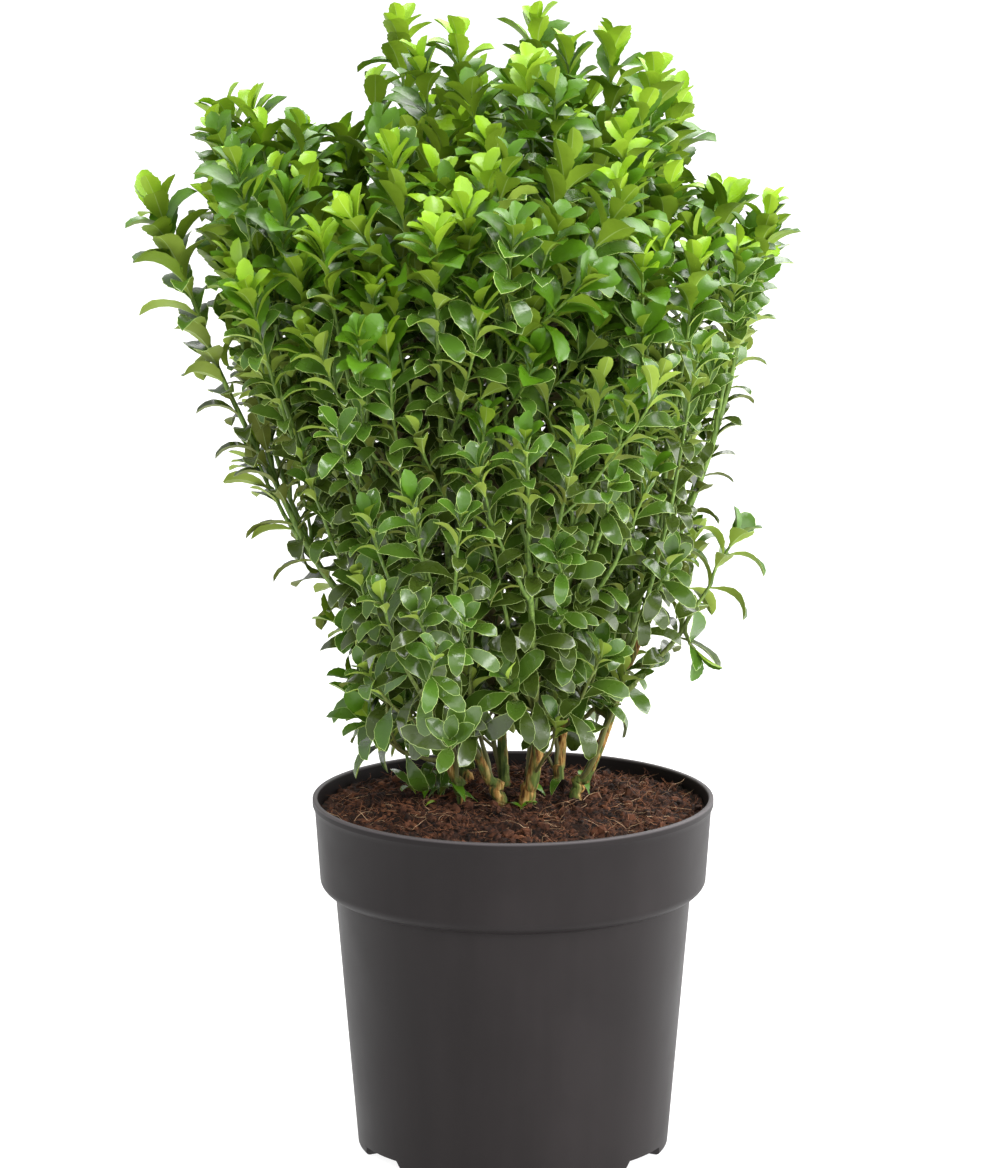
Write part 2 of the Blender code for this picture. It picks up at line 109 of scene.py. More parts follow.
# a value read off a short table of (place, value) pairs
def graded(place, table):
    for (low, first), (high, last) in zip(table, table[1:]):
        if place <= high:
            return mix(first, last, (place - low) / (high - low))
    return table[-1][1]


def linkNew(name, data):
    thing = bpy.data.objects.new(name, data)
    bpy.context.scene.collection.objects.link(thing)
    return thing


def plainMesh(thing):
    graph = bpy.context.evaluated_depsgraph_get()
    mesh = bpy.data.meshes.new_from_object(thing.evaluated_get(graph))
    bpy.data.objects.remove(thing)
    return mesh


# the plain mesh of a bmesh that is done with
def meshFrom(shape, name):
    mesh = bpy.data.meshes.new(name)
    shape.to_mesh(mesh)
    shape.free()
    return mesh


# a profile of (radius, height) points, turned about the middle
def turned(name, profile, steps):
    mesh = bpy.data.meshes.new(name)
    mesh.from_pydata([(r, 0, z) for r, z in profile], [(i, i + 1) for i in range(len(profile) - 1)], [])
    thing = linkNew(name, mesh)
    screw = thing.modifiers.new("turned", "SCREW")
    screw.steps = steps
    screw.render_steps = steps
    screw.use_merge_vertices = True
    screw.merge_threshold = 0.00001
    return thing


# shapes for a tree to pick from: a collection sorts them by name
def collected(name, meshes):
    shapes = bpy.data.collections.new(name)
    for number, mesh in enumerate(meshes):
        shapes.objects.link(bpy.data.objects.new("%s%d" % (name, number), mesh))
    return shapes


def discard(shapes):
    for thing in list(shapes.objects):
        bpy.data.objects.remove(thing)
    bpy.data.collections.remove(shapes)


def newTree(name, *inputs):
    tree = bpy.data.node_groups.new(name, "GeometryNodeTree")
    tree.interface.new_socket("Geometry", in_out="INPUT", socket_type="NodeSocketGeometry")
    for label, kind in inputs:
        tree.interface.new_socket(label, in_out="INPUT", socket_type="NodeSocket" + kind)
    tree.interface.new_socket("Geometry", in_out="OUTPUT", socket_type="NodeSocketGeometry")
    return tree, tree.nodes.new("NodeGroupInput").outputs


def endTree(tree, flow, finish):
    whole = out(tree, "GeometryNodeRealizeInstances", {"Geometry": flow})
    dressed = out(tree, "GeometryNodeSetMaterial", {"Geometry": whole, "Material": finish})
    put(tree, "NodeGroupOutput", {0: dressed})
    return tree


# runs a tree on a base mesh and keeps only the plain result
def grown(name, base, tree, values):
    thing = linkNew(name + "Base", base)
    modifier = thing.modifiers.new(tree.name, "NODES")
    modifier.node_group = tree
    for item in tree.interface.items_tree:
        if item.in_out == "INPUT" and item.name in values:
            modifier[item.identifier] = values[item.name]
    return linkNew(name, plainMesh(thing))


# attaches a piece to the root body and hides the nodes that it stands for
def keep(piece, slot, *nodes):
    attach(piece, "root")
    if nodes:
        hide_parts(*nodes)
    piece.data.calc_loop_triangles()
    print("%s: %d triangles" % (piece.name, len(piece.data.loop_triangles)))


# finishes

def newMaterial(name, colour, roughness, specular=0.5):
    material = bpy.data.materials.new(name)
    material.use_nodes = True
    shader = material.node_tree.nodes["Principled BSDF"]
    shader.inputs["Base Color"].default_value = (*colour, 1)
    shader.inputs["Roughness"].default_value = roughness
    shader.inputs["Specular IOR Level"].default_value = specular
    material.diffuse_color = (*colour, 1)
    return material, material.node_tree, shader


def objectNoise(tree, scale, detail=3, stretch=(1, 1, 1), roughness=0.55):
    place = put(tree, "ShaderNodeTexCoord")
    stretched = out(tree, "ShaderNodeMapping", {"Vector": place.outputs["Object"], "Scale": stretch})
    values = {"Vector": stretched, "Scale": scale, "Detail": detail, "Roughness": roughness}
    return put(tree, "ShaderNodeTexNoise", values).outputs["Fac"]


def colourRamp(tree, factor, stops):
    ramp = put(tree, "ShaderNodeValToRGB", {"Fac": factor})
    elements = ramp.color_ramp.elements
    while len(elements) < len(stops):
        elements.new(0.5)
    for element, (place, colour) in zip(elements, stops):
        element.position = place
        element.color = (*colour, 1)
    return ramp.outputs["Color"]


def valueRange(tree, value, low, high, fromLow=0.3, fromHigh=0.7):
    names = {"Value": value, "From Min": fromLow, "From Max": fromHigh, "To Min": low, "To Max": high}
    return put(tree, "ShaderNodeMapRange", names).outputs["Result"]


def objectHeight(tree):
    place = put(tree, "ShaderNodeTexCoord").outputs["Object"]
    return put(tree, "ShaderNodeSeparateXYZ", {0: place}).outputs["Z"]


def blended(tree, share, first, last):
    return put(tree, "ShaderNodeMix", {0: share, 6: first, 7: last}, data_type="RGBA").outputs[2]


def addBump(tree, shader, height, distance, strength=1):
    bump = put(tree, "ShaderNodeBump", {"Height": height, "Distance": distance, "Strength": strength})
    tree.links.new(bump.outputs["Normal"], shader.inputs["Normal"])


# moulded plastic: a fine grain, faint drawn streaks, and a rim made paler by a painted highlight
def potFinish():
    material, tree, shader = newMaterial("potPlastic", (0.014, 0.012, 0.012), 0.45, 0.45)
    shader.inputs["IOR"].default_value = 1.25
    clouds = objectNoise(tree, 14, 4)
    streaks = objectNoise(tree, 30, 3, (1, 1, 0.08))
    both = out(tree, "ShaderNodeMath", {0: clouds, 1: streaks}, operation="MULTIPLY")
    stops = ((0.12, (0.0122, 0.0100, 0.0102)), (0.42, (0.0182, 0.0152, 0.0155)))
    wall = colourRamp(tree, both, stops)
    # the top of the lip is mixed towards pale grey by height: a painted highlight along the rim
    rim = valueRange(tree, objectHeight(tree), 0, 1, potHigh.z - 0.0016, potHigh.z - 0.0004)
    tree.links.new(blended(tree, rim, wall, (0.085, 0.076, 0.079, 1)), shader.inputs["Base Color"])
    tree.links.new(valueRange(tree, clouds, 0.42, 0.54), shader.inputs["Roughness"])
    addBump(tree, shader, objectNoise(tree, 1500, 2), 0.00012, 0.35)
    return material


def peatFinish():
    material, tree, shader = newMaterial("peatGround", (0.03, 0.012, 0.007), 0.95, 0.25)
    stops = ((0.34, (0.005, 0.003, 0.002)), (0.52, (0.024, 0.010, 0.006)), (0.70, (0.080, 0.030, 0.016)))
    tree.links.new(colourRamp(tree, objectNoise(tree, 240, 5), stops), shader.inputs["Base Color"])
    addBump(tree, shader, objectNoise(tree, 700, 5), 0.0012)
    return material


# crumbs, fibres and chips, each kind darker here and paler there
def litterFinish(name, dark, light):
    material, tree, shader = newMaterial(name, light, 0.9, 0.3)
    stops = ((0.40, dark), (0.62, light))
    tree.links.new(colourRamp(tree, objectNoise(tree, 95, 3), stops), shader.inputs["Base Color"])
    addBump(tree, shader, objectNoise(tree, 1800, 2), 0.0003)
    return material


# corky bark: tan ridges and dark cracks that run lengthwise, with green rind between them
def barkFinish(name, greenShare):
    material, tree, shader = newMaterial(name, (0.36, 0.20, 0.08), 0.8, 0.3)
    ridges = objectNoise(tree, 520, 4, (1, 1, 0.16))
    patches = objectNoise(tree, 120, 3, (1, 1, 0.30))
    cork = colourRamp(tree, ridges, (
        (0.35, (0.040, 0.017, 0.006)), (0.45, (0.22, 0.100, 0.024)),
        (0.55, (0.42, 0.245, 0.068)), (0.70, (0.62, 0.46, 0.19))))
    rind = colourRamp(tree, ridges, ((0.35, (0.035, 0.060, 0.010)), (0.70, (0.15, 0.20, 0.040))))
    share = valueRange(tree, patches, 0, 1, greenShare - 0.05, greenShare + 0.05)
    tree.links.new(blended(tree, share, rind, cork), shader.inputs["Base Color"])
    addBump(tree, shader, ridges, 0.0011)
    return material


# green above, and browner down where the twigs are old
def twigFinish(name, dark, light, brown, turns):
    material, tree, shader = newMaterial(name, light, 0.5, 0.4)
    streaks = objectNoise(tree, 700, 3, (1, 1, 0.12))
    green = colourRamp(tree, streaks, ((0.32, dark), (0.66, light)))
    share = valueRange(tree, objectHeight(tree), 0.75, 0, *turns)
    tree.links.new(blended(tree, share, green, (*brown, 1)), shader.inputs["Base Color"])
    addBump(tree, shader, streaks, 0.0003)
    return material


# a leaf colour is plain on the whole leaf; what varies is its gloss and the leathery surface
def leafFinish(name, colour, roughness, specular, relief, coat=0.0):
    material, tree, shader = newMaterial(name, colour, roughness, specular)
    shader.inputs["Coat Weight"].default_value = coat
    shader.inputs["Coat Roughness"].default_value = 0.16
    gloss = valueRange(tree, objectNoise(tree, 90, 2), roughness - 0.07, roughness + 0.10)
    tree.links.new(gloss, shader.inputs["Roughness"])
    addBump(tree, shader, objectNoise(tree, 260, 2), relief, 0.6)
    return material


# pot

potSizes = {
    "lipHeight": 0.0045, "lipRound": 0.0008,
    "collarTop": 0.1136, "collarFoot": 0.1108, "collarFootHeight": 0.159,
    "shoulder": 0.1021, "shoulderHeight": 0.1505, "shoulderArc": math.radians(62),
    "lipTurn": 0.0030, "base": 0.0895, "baseRound": 0.0035, "wall": 0.0015, "floor": 0.002,
    "ring": 0.0763, "ringHeight": 0.0075, "footRings": (0.0120, 0.0068),
    "steps": 192, "notchAngles": (31.5, 148.5, 211.5, 328.5), "notchDepth": 0.078,
    "notchWidth": 0.038, "notchHeight": 0.006, "notchPast": 0.006, "notchSlope": 0.0055,
    "edge": 0.0005, "edgeAngle": 40, "sharpAngle": 30, "grooves": (0.030, 0.062), "grooveDepth": 0.0005,
}


def arcPoints(middle, radius, first, last, steps):
    angles = [math.radians(first + (last - first) * step / steps) for step in range(steps + 1)]
    return [(middle[0] + radius * math.cos(a), middle[1] + radius * math.sin(a)) for a in angles]


def collarFoot(inset, steps=14):
    s = potSizes
    points = []
    for step in range(steps + 1):
        angle = s["shoulderArc"] * step / steps
        past = (math.cos(angle) - math.cos(s["shoulderArc"])) / (1 - math.cos(s["shoulderArc"]))
        down = math.sin(angle) / math.sin(s["shoulderArc"])
        points.append((s["shoulder"] + past * (s["collarFoot"] - s["shoulder"]) - inset,
                       s["collarFootHeight"] - down * (s["collarFootHeight"] - s["shoulderHeight"])))
    return points


def potProfile():
    s = potSizes
    top = potHigh.z
    lipFoot = top - s["lipHeight"]
    rim, turn = potHigh.x, s["lipRound"]
    lowShare = (s["ringHeight"] - s["baseRound"]) / (s["shoulderHeight"] - s["baseRound"])
    lowRadius = s["base"] + lowShare * (s["shoulder"] - s["base"]) - s["wall"]
    points = [(0, s["floor"]), (s["ring"], s["floor"]), (s["ring"], s["ringHeight"])]
    points.append((lowRadius, s["ringHeight"]))
    points += list(reversed(collarFoot(s["wall"])))
    points.append((s["collarTop"] - s["wall"], lipFoot))
    points += arcPoints((s["collarTop"] - s["wall"] + turn, top - turn), turn, 180, 90, 4)
    points += arcPoints((rim - turn, top - turn), turn, 90, 0, 5)
    points += arcPoints((rim - turn, lipFoot + turn), turn, 0, -35, 3)
    points.append((s["collarTop"], lipFoot - s["lipTurn"]))
    points += collarFoot(0)
    for height in s["footRings"]:
        share = (height - s["baseRound"]) / (s["shoulderHeight"] - s["baseRound"])
        points.append((mix(s["base"], s["shoulder"], share), height))
    points.append((s["base"], s["baseRound"]))
    points += arcPoints((s["base"] - s["baseRound"], s["baseRound"]), s["baseRound"], -15, -90, 5)
    depth = s["grooveDepth"]
    for radius in reversed(s["grooves"]):
        points += [(radius + 2 * depth, 0), (radius + depth, depth)]
        points += [(radius - depth, depth), (radius - 2 * depth, 0)]
    points.append((0, 0))
    return points


# a drain notch is wider at the ground than at its top
def notchMesh():
    s = potSizes
    shape = bmesh.new()
    bmesh.ops.create_cube(shape, size=1)
    depth = s["base"] - s["notchDepth"] + s["notchPast"]
    for vert in shape.verts:
        slope = s["notchSlope"] if vert.co.z < 0 else -s["notchSlope"] / 2
        vert.co.y *= s["notchWidth"] + 2 * slope
        vert.co.x = s["notchDepth"] + (vert.co.x + 0.5) * depth
        vert.co.z *= 2 * s["notchHeight"]
    return meshFrom(shape, "notch")


def buildPot():
    s = potSizes
    pot = turned("potShell", potProfile(), s["steps"])
    cutters = collected("notches", [notchMesh() for degrees in s["notchAngles"]])
    for notch, degrees in zip(cutters.objects, s["notchAngles"]):
        notch.rotation_euler.z = math.radians(degrees)
    cut = pot.modifiers.new("notches", "BOOLEAN")
    cut.operand_type = "COLLECTION"
    cut.collection = cutters
    soft = pot.modifiers.new("softEdges", "BEVEL")
    soft.width = s["edge"]
    soft.segments = 2
    soft.limit_method = "ANGLE"
    soft.angle_limit = math.radians(s["edgeAngle"])
    mesh = plainMesh(pot)
    discard(cutters)
    mesh.materials.clear()
    mesh.materials.append(potFinish())
    mesh.shade_smooth()
    mesh.set_sharp_from_angle(angle=math.radians(s["sharpAngle"]))
    keep(linkNew("nurseryPot", mesh), "pot_plastic", "pot")


# limbs

limbSizes = {
    "stems": {   # foot, top, foot radius, top radius
        "stem_left": ((-0.029, 0.002), (-0.047, 0.000, 0.266), 0.0032, 0.0026),
        "stem_front": ((-0.007, -0.006), (-0.031, -0.016, 0.270), 0.0036, 0.0028),
        "stem_middle": ((-0.005, 0.039), (-0.008, 0.044, 0.284), 0.0034, 0.0028),
        "stem_main": ((0.008, -0.008), (0.020, -0.018, 0.282), 0.0048, 0.0034),
        "stem_green": ((0.026, 0.038), (0.032, 0.046, 0.282), 0.0036, 0.0028),
        "stem_right": ((0.036, 0.008), (0.064, 0.000, 0.282), 0.0036, 0.0028),
        "stem_back_left": ((-0.026, 0.046), (-0.045, 0.066, 0.270), 0.0032, 0.0026),
        "stem_back_right": ((0.010, 0.064), (0.026, 0.088, 0.274), 0.0032, 0.0026),
    },
    "lean": 0.62, "rise": 0.42, "flare": 1.22, "flareHeight": 0.010, "sunk": 0.006, "slim": 0.88,
    "boughShare": 0.11, "boughReach": 1.25, "boughRadius": 0.0027, "boughEnd": 0.0021,
    "lowestBough": 0.5, "stemPoints": 14, "stemSides": 20, "stemStep": 0.0016, "stemRelief": 0.0011,
    "stemGreen": 0.52, "boughPoints": 8, "boughSides": 14, "boughStep": 0.0018, "boughRelief": 0.0007,
    "boughGreen": 0.56, "grain": 520, "grainStretch": (1, 1, 0.42),
}

# shoots: the stem that carries each, how far up it the shoot leaves, and its last bud
shoots = {
    "left_outer": ("stem_left", 0.66, (-0.196, 0.010, 0.533)),
    "left_lobe_front": ("stem_left", 0.86, (-0.141, 0.026, 0.572)),
    "left_front": ("stem_left", 1.00, (-0.146, -0.070, 0.508)),
    "left_low": ("stem_left", 0.42, (-0.076, -0.034, 0.252)),
    "front_inner": ("stem_front", 0.66, (-0.066, -0.055, 0.569)),
    "front_left": ("stem_front", 0.86, (-0.103, -0.108, 0.530)),
    "front_middle": ("stem_front", 1.00, (-0.042, -0.135, 0.537)),
    "front_low_left": ("stem_front", 0.46, (-0.054, -0.142, 0.396)),
    "inner_left": ("stem_middle", 0.72, (-0.113, -0.024, 0.552)),
    "top_back_left": ("stem_middle", 0.90, (-0.064, 0.082, 0.622)),
    "top_left": ("stem_middle", 1.00, (-0.030, 0.020, 0.624)),
    "front_centre": ("stem_main", 0.70, (-0.014, -0.098, 0.563)),
    "top_middle": ("stem_main", 0.88, (0.009, -0.030, 0.610)),
    "front_right": ("stem_main", 1.00, (0.061, -0.120, 0.447)),
    "front_low_right": ("stem_main", 0.46, (0.007, -0.146, 0.430)),
    "right_short": ("stem_green", 0.44, (0.068, 0.012, 0.284)),
    "top_right": ("stem_green", 0.82, (0.078, 0.020, 0.602)),
    "top_back_right": ("stem_green", 1.00, (0.056, 0.076, 0.614)),
    "right_front": ("stem_right", 0.62, (0.099, -0.066, 0.510)),
    "right_low": ("stem_right", 0.78, (0.119, 0.004, 0.344)),
    "right_outer": ("stem_right", 0.92, (0.142, 0.022, 0.528)),
    "right_inner": ("stem_right", 1.00, (0.062, -0.045, 0.577)),
    "left_short": ("stem_back_left", 0.44, (-0.082, 0.026, 0.300)),
    "back_middle": ("stem_back_left", 0.62, (-0.022, 0.164, 0.560)),
    "left_lobe_back": ("stem_back_left", 0.76, (-0.160, 0.078, 0.574)),
    "back_left": ("stem_back_left", 0.90, (-0.098, 0.150, 0.520)),
    "inner_back_left": ("stem_back_left", 1.00, (-0.094, 0.062, 0.562)),
    "right_back_outer": ("stem_back_right", 0.60, (0.120, 0.076, 0.524)),
    "right_back": ("stem_back_right", 0.74, (0.094, 0.108, 0.577)),
    "back_right": ("stem_back_right", 0.88, (0.064, 0.158, 0.541)),
    "top_back": ("stem_back_right", 1.00, (0.014, 0.104, 0.622)),
    "back_low": ("stem_back_right", 0.46, (0.012, 0.176, 0.420)),
}

# shoots that branch off another one part of the way up
sideShoots = {
    "lobe_inner": ("left_front", 0.45, (-0.151, -0.030, 0.570)),
    "lobe_high": ("left_lobe_front", 0.50, (-0.150, 0.058, 0.592)),
    "centre_front": ("front_centre", 0.40, (-0.027, -0.120, 0.562)),
    "right_low_under": ("right_low", 0.45, (0.104, 0.000, 0.292)),
    "right_low_inner": ("right_low", 0.40, (0.103, 0.028, 0.352)),
    "left_edge_low": ("left_outer", 0.12, (-0.098, 0.000, 0.305)),
    "left_edge": ("left_outer", 0.25, (-0.146, 0.020, 0.400)),
    "low_edge": ("left_short", 0.30, (-0.090, 0.010, 0.272)),
    "low_edge_front": ("left_low", 0.40, (-0.088, -0.014, 0.264)),
}

# shoots and twigs as they grow
growth = {
    "seed": 7, "rise": 0.38, "points": 12, "shortFoot": 0.0013, "footRadius": 0.0023, "footReach": 0.25,
    "budRadius": 0.0008, "slimming": 1.3, "kink": 0.0011, "middle": Vector((-0.02, 0.01, 0)),
    "sleeve": 0.0086, "sleeveStart": 0.40, "tipGrowth": 0.014, "lowestTip": 0.244, "edge": 0.006,
    "offsetReach": 0.09, "thinner": 0.8, "cell": 0.02, "sleeveCell": 0.03,
    "sides": 6, "step": 0.005, "relief": 0.0003, "grain": 260,
    "dark": (0.050, 0.10, 0.014), "light": (0.20, 0.32, 0.055), "brown": (0.15, 0.120, 0.045),
    "browning": (0.24, 0.34),
}

# twigs that run beside their shoot, long ones from the stems, short ones that fill in between,
# and sprigs low on the stems; over is how far their tips may pass the crown's sides and top, in pixels
twigKinds = {
    "beside": {"tries": 90, "radius": 0.0016, "starts": (0.02, 0.60), "ends": (0.58, 1.03),
               "offset": (0.016, 0.034), "vigour": (0.6, 0.98), "outward": 0.40,
               "points": 10, "over": (-12, -26)},
    "runner": {"tries": 7, "radius": 0.0019, "starts": (0.00, 0.10), "ends": (0.8, 1.2),
               "offset": (0.006, 0.014), "vigour": (0.4, 0.8), "outward": 0.3,
               "points": 10, "over": (-16, -42)},
    "short": {"tries": 14, "radius": 0.0011, "starts": (0.03, 0.70), "lengths": (0.045, 0.100),
              "lean": (0.30, 0.55), "vigour": (0.2, 0.6), "outward": 0.6,
              "points": 6, "over": (-16, -50)},
    "sprig": {"tries": 9, "radius": 0.0011, "starts": (0.28, 0.85), "lengths": (0.028, 0.058),
              "lean": (0.4, 0.75), "vigour": (0.0, 0.2), "outward": 2.0,
              "points": 6, "over": (-14, -50)},
}

# the crown's dense body in the photo, in pixels: its sides at some heights and its top at some widths
crownEdges = {
    "left": ((-30, 380), (0, 372), (70, 376), (76, 206), (120, 194), (160, 204), (205, 186),
             (260, 214), (340, 226), (400, 240), (430, 270), (500, 300), (560, 314), (640, 338),
             (700, 352), (775, 352)),
    "right": ((-30, 560), (0, 566), (30, 590), (60, 664), (100, 694), (160, 700), (200, 780),
              (225, 798), (280, 762), (340, 746), (400, 716), (480, 696), (600, 690), (660, 668),
              (700, 628), (775, 604)),
    "top": ((118, 190), (160, 175), (190, 120), (206, 84), (300, 90), (312, 116), (366, 112), (374, 20),
            (430, 8), (500, 26), (520, 0), (560, 4), (620, 30), (670, 66), (690, 95), (716, 140),
            (760, 165), (800, 200)),
    "lowest": 775,
}


def curvePoints(curve, count, first=0.0, last=1.0):
    start, control, tip = curve
    points = []
    for step in range(count):
        share = first + (last - first) * step / (count - 1)
        points.append(start.lerp(control, share).lerp(control.lerp(tip, share), share))
    return points


# a stem leans out from its foot and then rises
def stemCurve(name):
    (x, y), top = limbSizes["stems"][name][:2]
    foot = Vector((x, y, peatHigh.z))
    control = foot.lerp(Vector(top), limbSizes["lean"])
    control.z = mix(foot.z, top[2], limbSizes["rise"])
    return foot, control, Vector(top)


# a shoot grows outwards at first and then turns up
def growthCurve(start, tip):
    span = tip - start
    ending = span.normalized().lerp(up, growth["rise"]).normalized()
    return start, tip - ending * span.length / 2, tip


def shootCurve(name):
    stem, share, tip = shoots[name]
    return growthCurve(curvePoints(stemCurve(stem), 2, 0, share)[-1], Vector(tip))


def photoPoint(place):
    away = place - Vector(stage["camera"])
    pitch = math.radians(stage["pitch"])
    ahead = away.y * math.cos(pitch) - away.z * math.sin(pitch)
    rise = away.y * math.sin(pitch) + away.z * math.cos(pitch)
    across = stage["photoWidth"] / 2 + stage["focalPixels"] * away.x / ahead
    return across, stage["photoHeight"] / 2 - stage["focalPixels"] * rise / ahead


# whether a place shows within the crown's body, allowing some pixels over its sides and its top
def inOutline(place, over, overTop):
    edges = crownEdges
    across, down = photoPoint(place)
    if not graded(across, edges["top"]) - overTop < down < edges["lowest"]:
        return False
    return graded(down, edges["left"]) - over < across < graded(down, edges["right"]) + over


def hasBough(name):
    return limbSizes["lowestBough"] <= shoots[name][1] < 1


# polylines with a thickness at each point, for the limb tree
def lineMesh(lines):
    mesh = bpy.data.meshes.new("lines")
    points, edges, radii = [], [], []
    for linePoints, lineRadii in lines:
        edges += [(len(points) + i, len(points) + i + 1) for i in range(len(linePoints) - 1)]
        points += linePoints
        radii += lineRadii
    mesh.from_pydata(points, edges, [])
    mesh.attributes.new("thickness", "FLOAT", "POINT").data.foreach_set("value", radii)
    return mesh


# round limbs along their lines, with relief that runs lengthwise
def limbTree():
    tree, given = newTree("limbs", ("Sides", "Int"), ("Step", "Float"), ("Relief", "Float"),
                          ("Grain", "Float"), ("Finish", "Material"))
    lines = out(tree, "GeometryNodeMeshToCurve", {"Mesh": given["Geometry"]})
    even = out(tree, "GeometryNodeResampleCurve", {
        "Curve": lines, "Length": given["Step"]}, mode="LENGTH")
    ring = out(tree, "GeometryNodeCurvePrimitiveCircle", {"Resolution": given["Sides"], "Radius": 1.0})
    thickness = out(tree, "GeometryNodeInputNamedAttribute", {"Name": "thickness"}, data_type="FLOAT")
    tube = out(tree, "GeometryNodeCurveToMesh", {
        "Curve": even, "Profile Curve": ring, "Scale": thickness, "Fill Caps": True})
    place = out(tree, "GeometryNodeInputPosition")
    stretched = out(tree, "ShaderNodeVectorMath", {
        0: place, 1: limbSizes["grainStretch"]}, operation="MULTIPLY")
    ridges = put(tree, "ShaderNodeTexNoise", {
        "Vector": stretched, "Scale": given["Grain"], "Detail": 3.0}).outputs["Fac"]
    centred = out(tree, "ShaderNodeMath", {0: ridges, 1: 0.5}, operation="SUBTRACT")
    height = out(tree, "ShaderNodeMath", {0: centred, 1: given["Relief"]}, operation="MULTIPLY")
    normal = out(tree, "GeometryNodeInputNormal")
    offset = out(tree, "ShaderNodeVectorMath", {0: normal, "Scale": height}, operation="SCALE")
    moved = out(tree, "GeometryNodeSetPosition", {"Geometry": tube, "Offset": offset})
    return endTree(tree, out(tree, "GeometryNodeSetShadeSmooth", {"Geometry": moved}), given["Finish"])


def taper(first, last, count, power=1):
    return [mix(first, last, (i / (count - 1)) ** power) for i in range(count)]


# a stem's line, with a root flare where it enters the peat
def stemLine(name):
    s = limbSizes
    footRadius, topRadius = [radius * s["slim"] for radius in s["stems"][name][2:]]
    foot, control, top = stemCurve(name)
    points = curvePoints((foot, control, top), s["stemPoints"])
    radii = taper(footRadius, topRadius, s["stemPoints"])
    rise = up * s["flareHeight"]
    widest = footRadius * s["flare"]
    points[:1] = [foot - up * s["sunk"], foot, foot + rise / 3, foot + rise]
    radii[:1] = [widest, widest, footRadius * s["flare"] ** 0.6, footRadius]
    order = sorted(range(len(points)), key=lambda i: points[i].z)
    return [points[i] for i in order], [radii[i] for i in order]


def buildStems(tree):
    s = limbSizes
    stemLines = [stemLine(name) for name in s["stems"]]
    values = {"Sides": s["stemSides"], "Step": s["stemStep"], "Relief": s["stemRelief"],
              "Grain": float(s["grain"]), "Finish": barkFinish("corkBark", s["stemGreen"])}
    keep(grown("stems", lineMesh(stemLines), tree, values), "bark", *s["stems"])
    names = [name for name in shoots if hasBough(name)]
    radii = taper(s["boughRadius"], s["boughEnd"], s["boughPoints"])
    reach = s["boughShare"] * s["boughReach"]
    boughLines = [(curvePoints(shootCurve(name), s["boughPoints"], 0, reach), radii) for name in names]
    values.update({"Sides": s["boughSides"], "Step": s["boughStep"], "Relief": s["boughRelief"],
                   "Finish": barkFinish("greenBark", s["boughGreen"])})
    boughs = grown("boughs", lineMesh(boughLines), tree, values)
    keep(boughs, "bark", *["bough_" + name for name in names])
    return stemLines + boughLines


# twigs

# the corners and faces of a three-sided tube along some points
def facesOf(points, radii):
    corners, faces = [], []
    for index, (point, radius) in enumerate(zip(points, radii)):
        onward = points[min(index + 1, len(points) - 1)] - points[max(index - 1, 0)]
        turn = onward.to_track_quat("Z", "X").to_matrix()
        for side in range(3):
            angle = math.tau * side / 3
            corners.append(point + turn @ Vector((math.cos(angle), math.sin(angle), 0)) * radius)
    for index in range(len(points) - 1):
        for side in range(3):
            a, b = index * 3 + side, index * 3 + (side + 1) % 3
            faces.append((a, b, b + 3, a + 3))
    return corners, faces


# what is taken already, found by place: each tree is filed under the cells near its middle
class Room:
    def __init__(self, cell):
        self.cell = cell
        self.cells = {}

    def cellsOf(self, corners):
        xs, ys, zs = [range(int(min(places) // self.cell), int(max(places) // self.cell) + 1)
                      for places in zip(*corners)]
        return [(x, y, z) for x in xs for y in ys for z in zs]

    def take(self, tree, corners):
        for cell in self.cellsOf(corners):
            self.cells.setdefault(cell, []).append(tree)

    def isFree(self, tree, corners):
        tried = set()
        for cell in self.cellsOf(corners):
            for other in self.cells.get(cell, ()):
                if id(other) not in tried:
                    tried.add(id(other))
                    if tree.overlap(other):
                        return False
        return True


class Twig:
    def __init__(self, name, points, radii, vigour):
        self.name = name
        self.points = points
        self.radii = radii
        self.vigour = vigour
        self.lengths = [0.0]
        for low, high in zip(points, points[1:]):
            self.lengths.append(self.lengths[-1] + (high - low).length)

    # place, direction and radius at a distance from the foot
    def at(self, distance):
        step = max(i for i in range(len(self.points) - 1) if self.lengths[i] <= max(0, distance))
        part = (distance - self.lengths[step]) / (self.lengths[step + 1] - self.lengths[step])
        place = self.points[step].lerp(self.points[step + 1], part)
        onward = (self.points[step + 1] - self.points[step]).normalized()
        return place, onward, mix(self.radii[step], self.radii[step + 1], part)


# small bends along a line
def kinked(points, dice):
    for point in points[1:-1]:
        point += Vector([dice.uniform(-1, 1) * growth["kink"] for axis in range(3)])
    return points


def sideways(onward, bearing):
    return onward.cross(Vector((math.cos(bearing), math.sin(bearing), 0))).normalized()


# takes the twig unless its outer part would cross the sleeve that another twig keeps
def addTwig(twigs, room, sleeves, twig, isFirst=False):
    start = int(len(twig.points) * growth["sleeveStart"])
    outer = twig.points[start:]
    corners, faces = facesOf(outer, [growth["sleeve"]] * len(outer))
    sleeve = BVHTree.FromPolygons(corners, faces)
    if not isFirst and not sleeves.isFree(sleeve, corners):
        return False
    sleeves.take(sleeve, corners)
    corners, faces = facesOf(twig.points, twig.radii)
    room.take(BVHTree.FromPolygons(corners, faces), corners)
    twigs.append(twig)
    return True


# a shoot of full vigour
def leader(name, points):
    g = growth
    length = sum((b - a).length for a, b in zip(points, points[1:]))
    foot = mix(g["shortFoot"], g["footRadius"], length / g["footReach"])
    return Twig(name, points, taper(foot, g["budRadius"], len(points), g["slimming"]), 1)


def growMain(number, name):
    g = growth
    dice = random.Random(g["seed"] * 100 + number)
    first = limbSizes["boughShare"] if hasBough(name) else 0
    points = kinked(curvePoints(shootCurve(name), g["points"], first), dice)
    points.append(points[-1] + (points[-1] - points[-2]).normalized() * g["tipGrowth"])
    return leader(name, points)


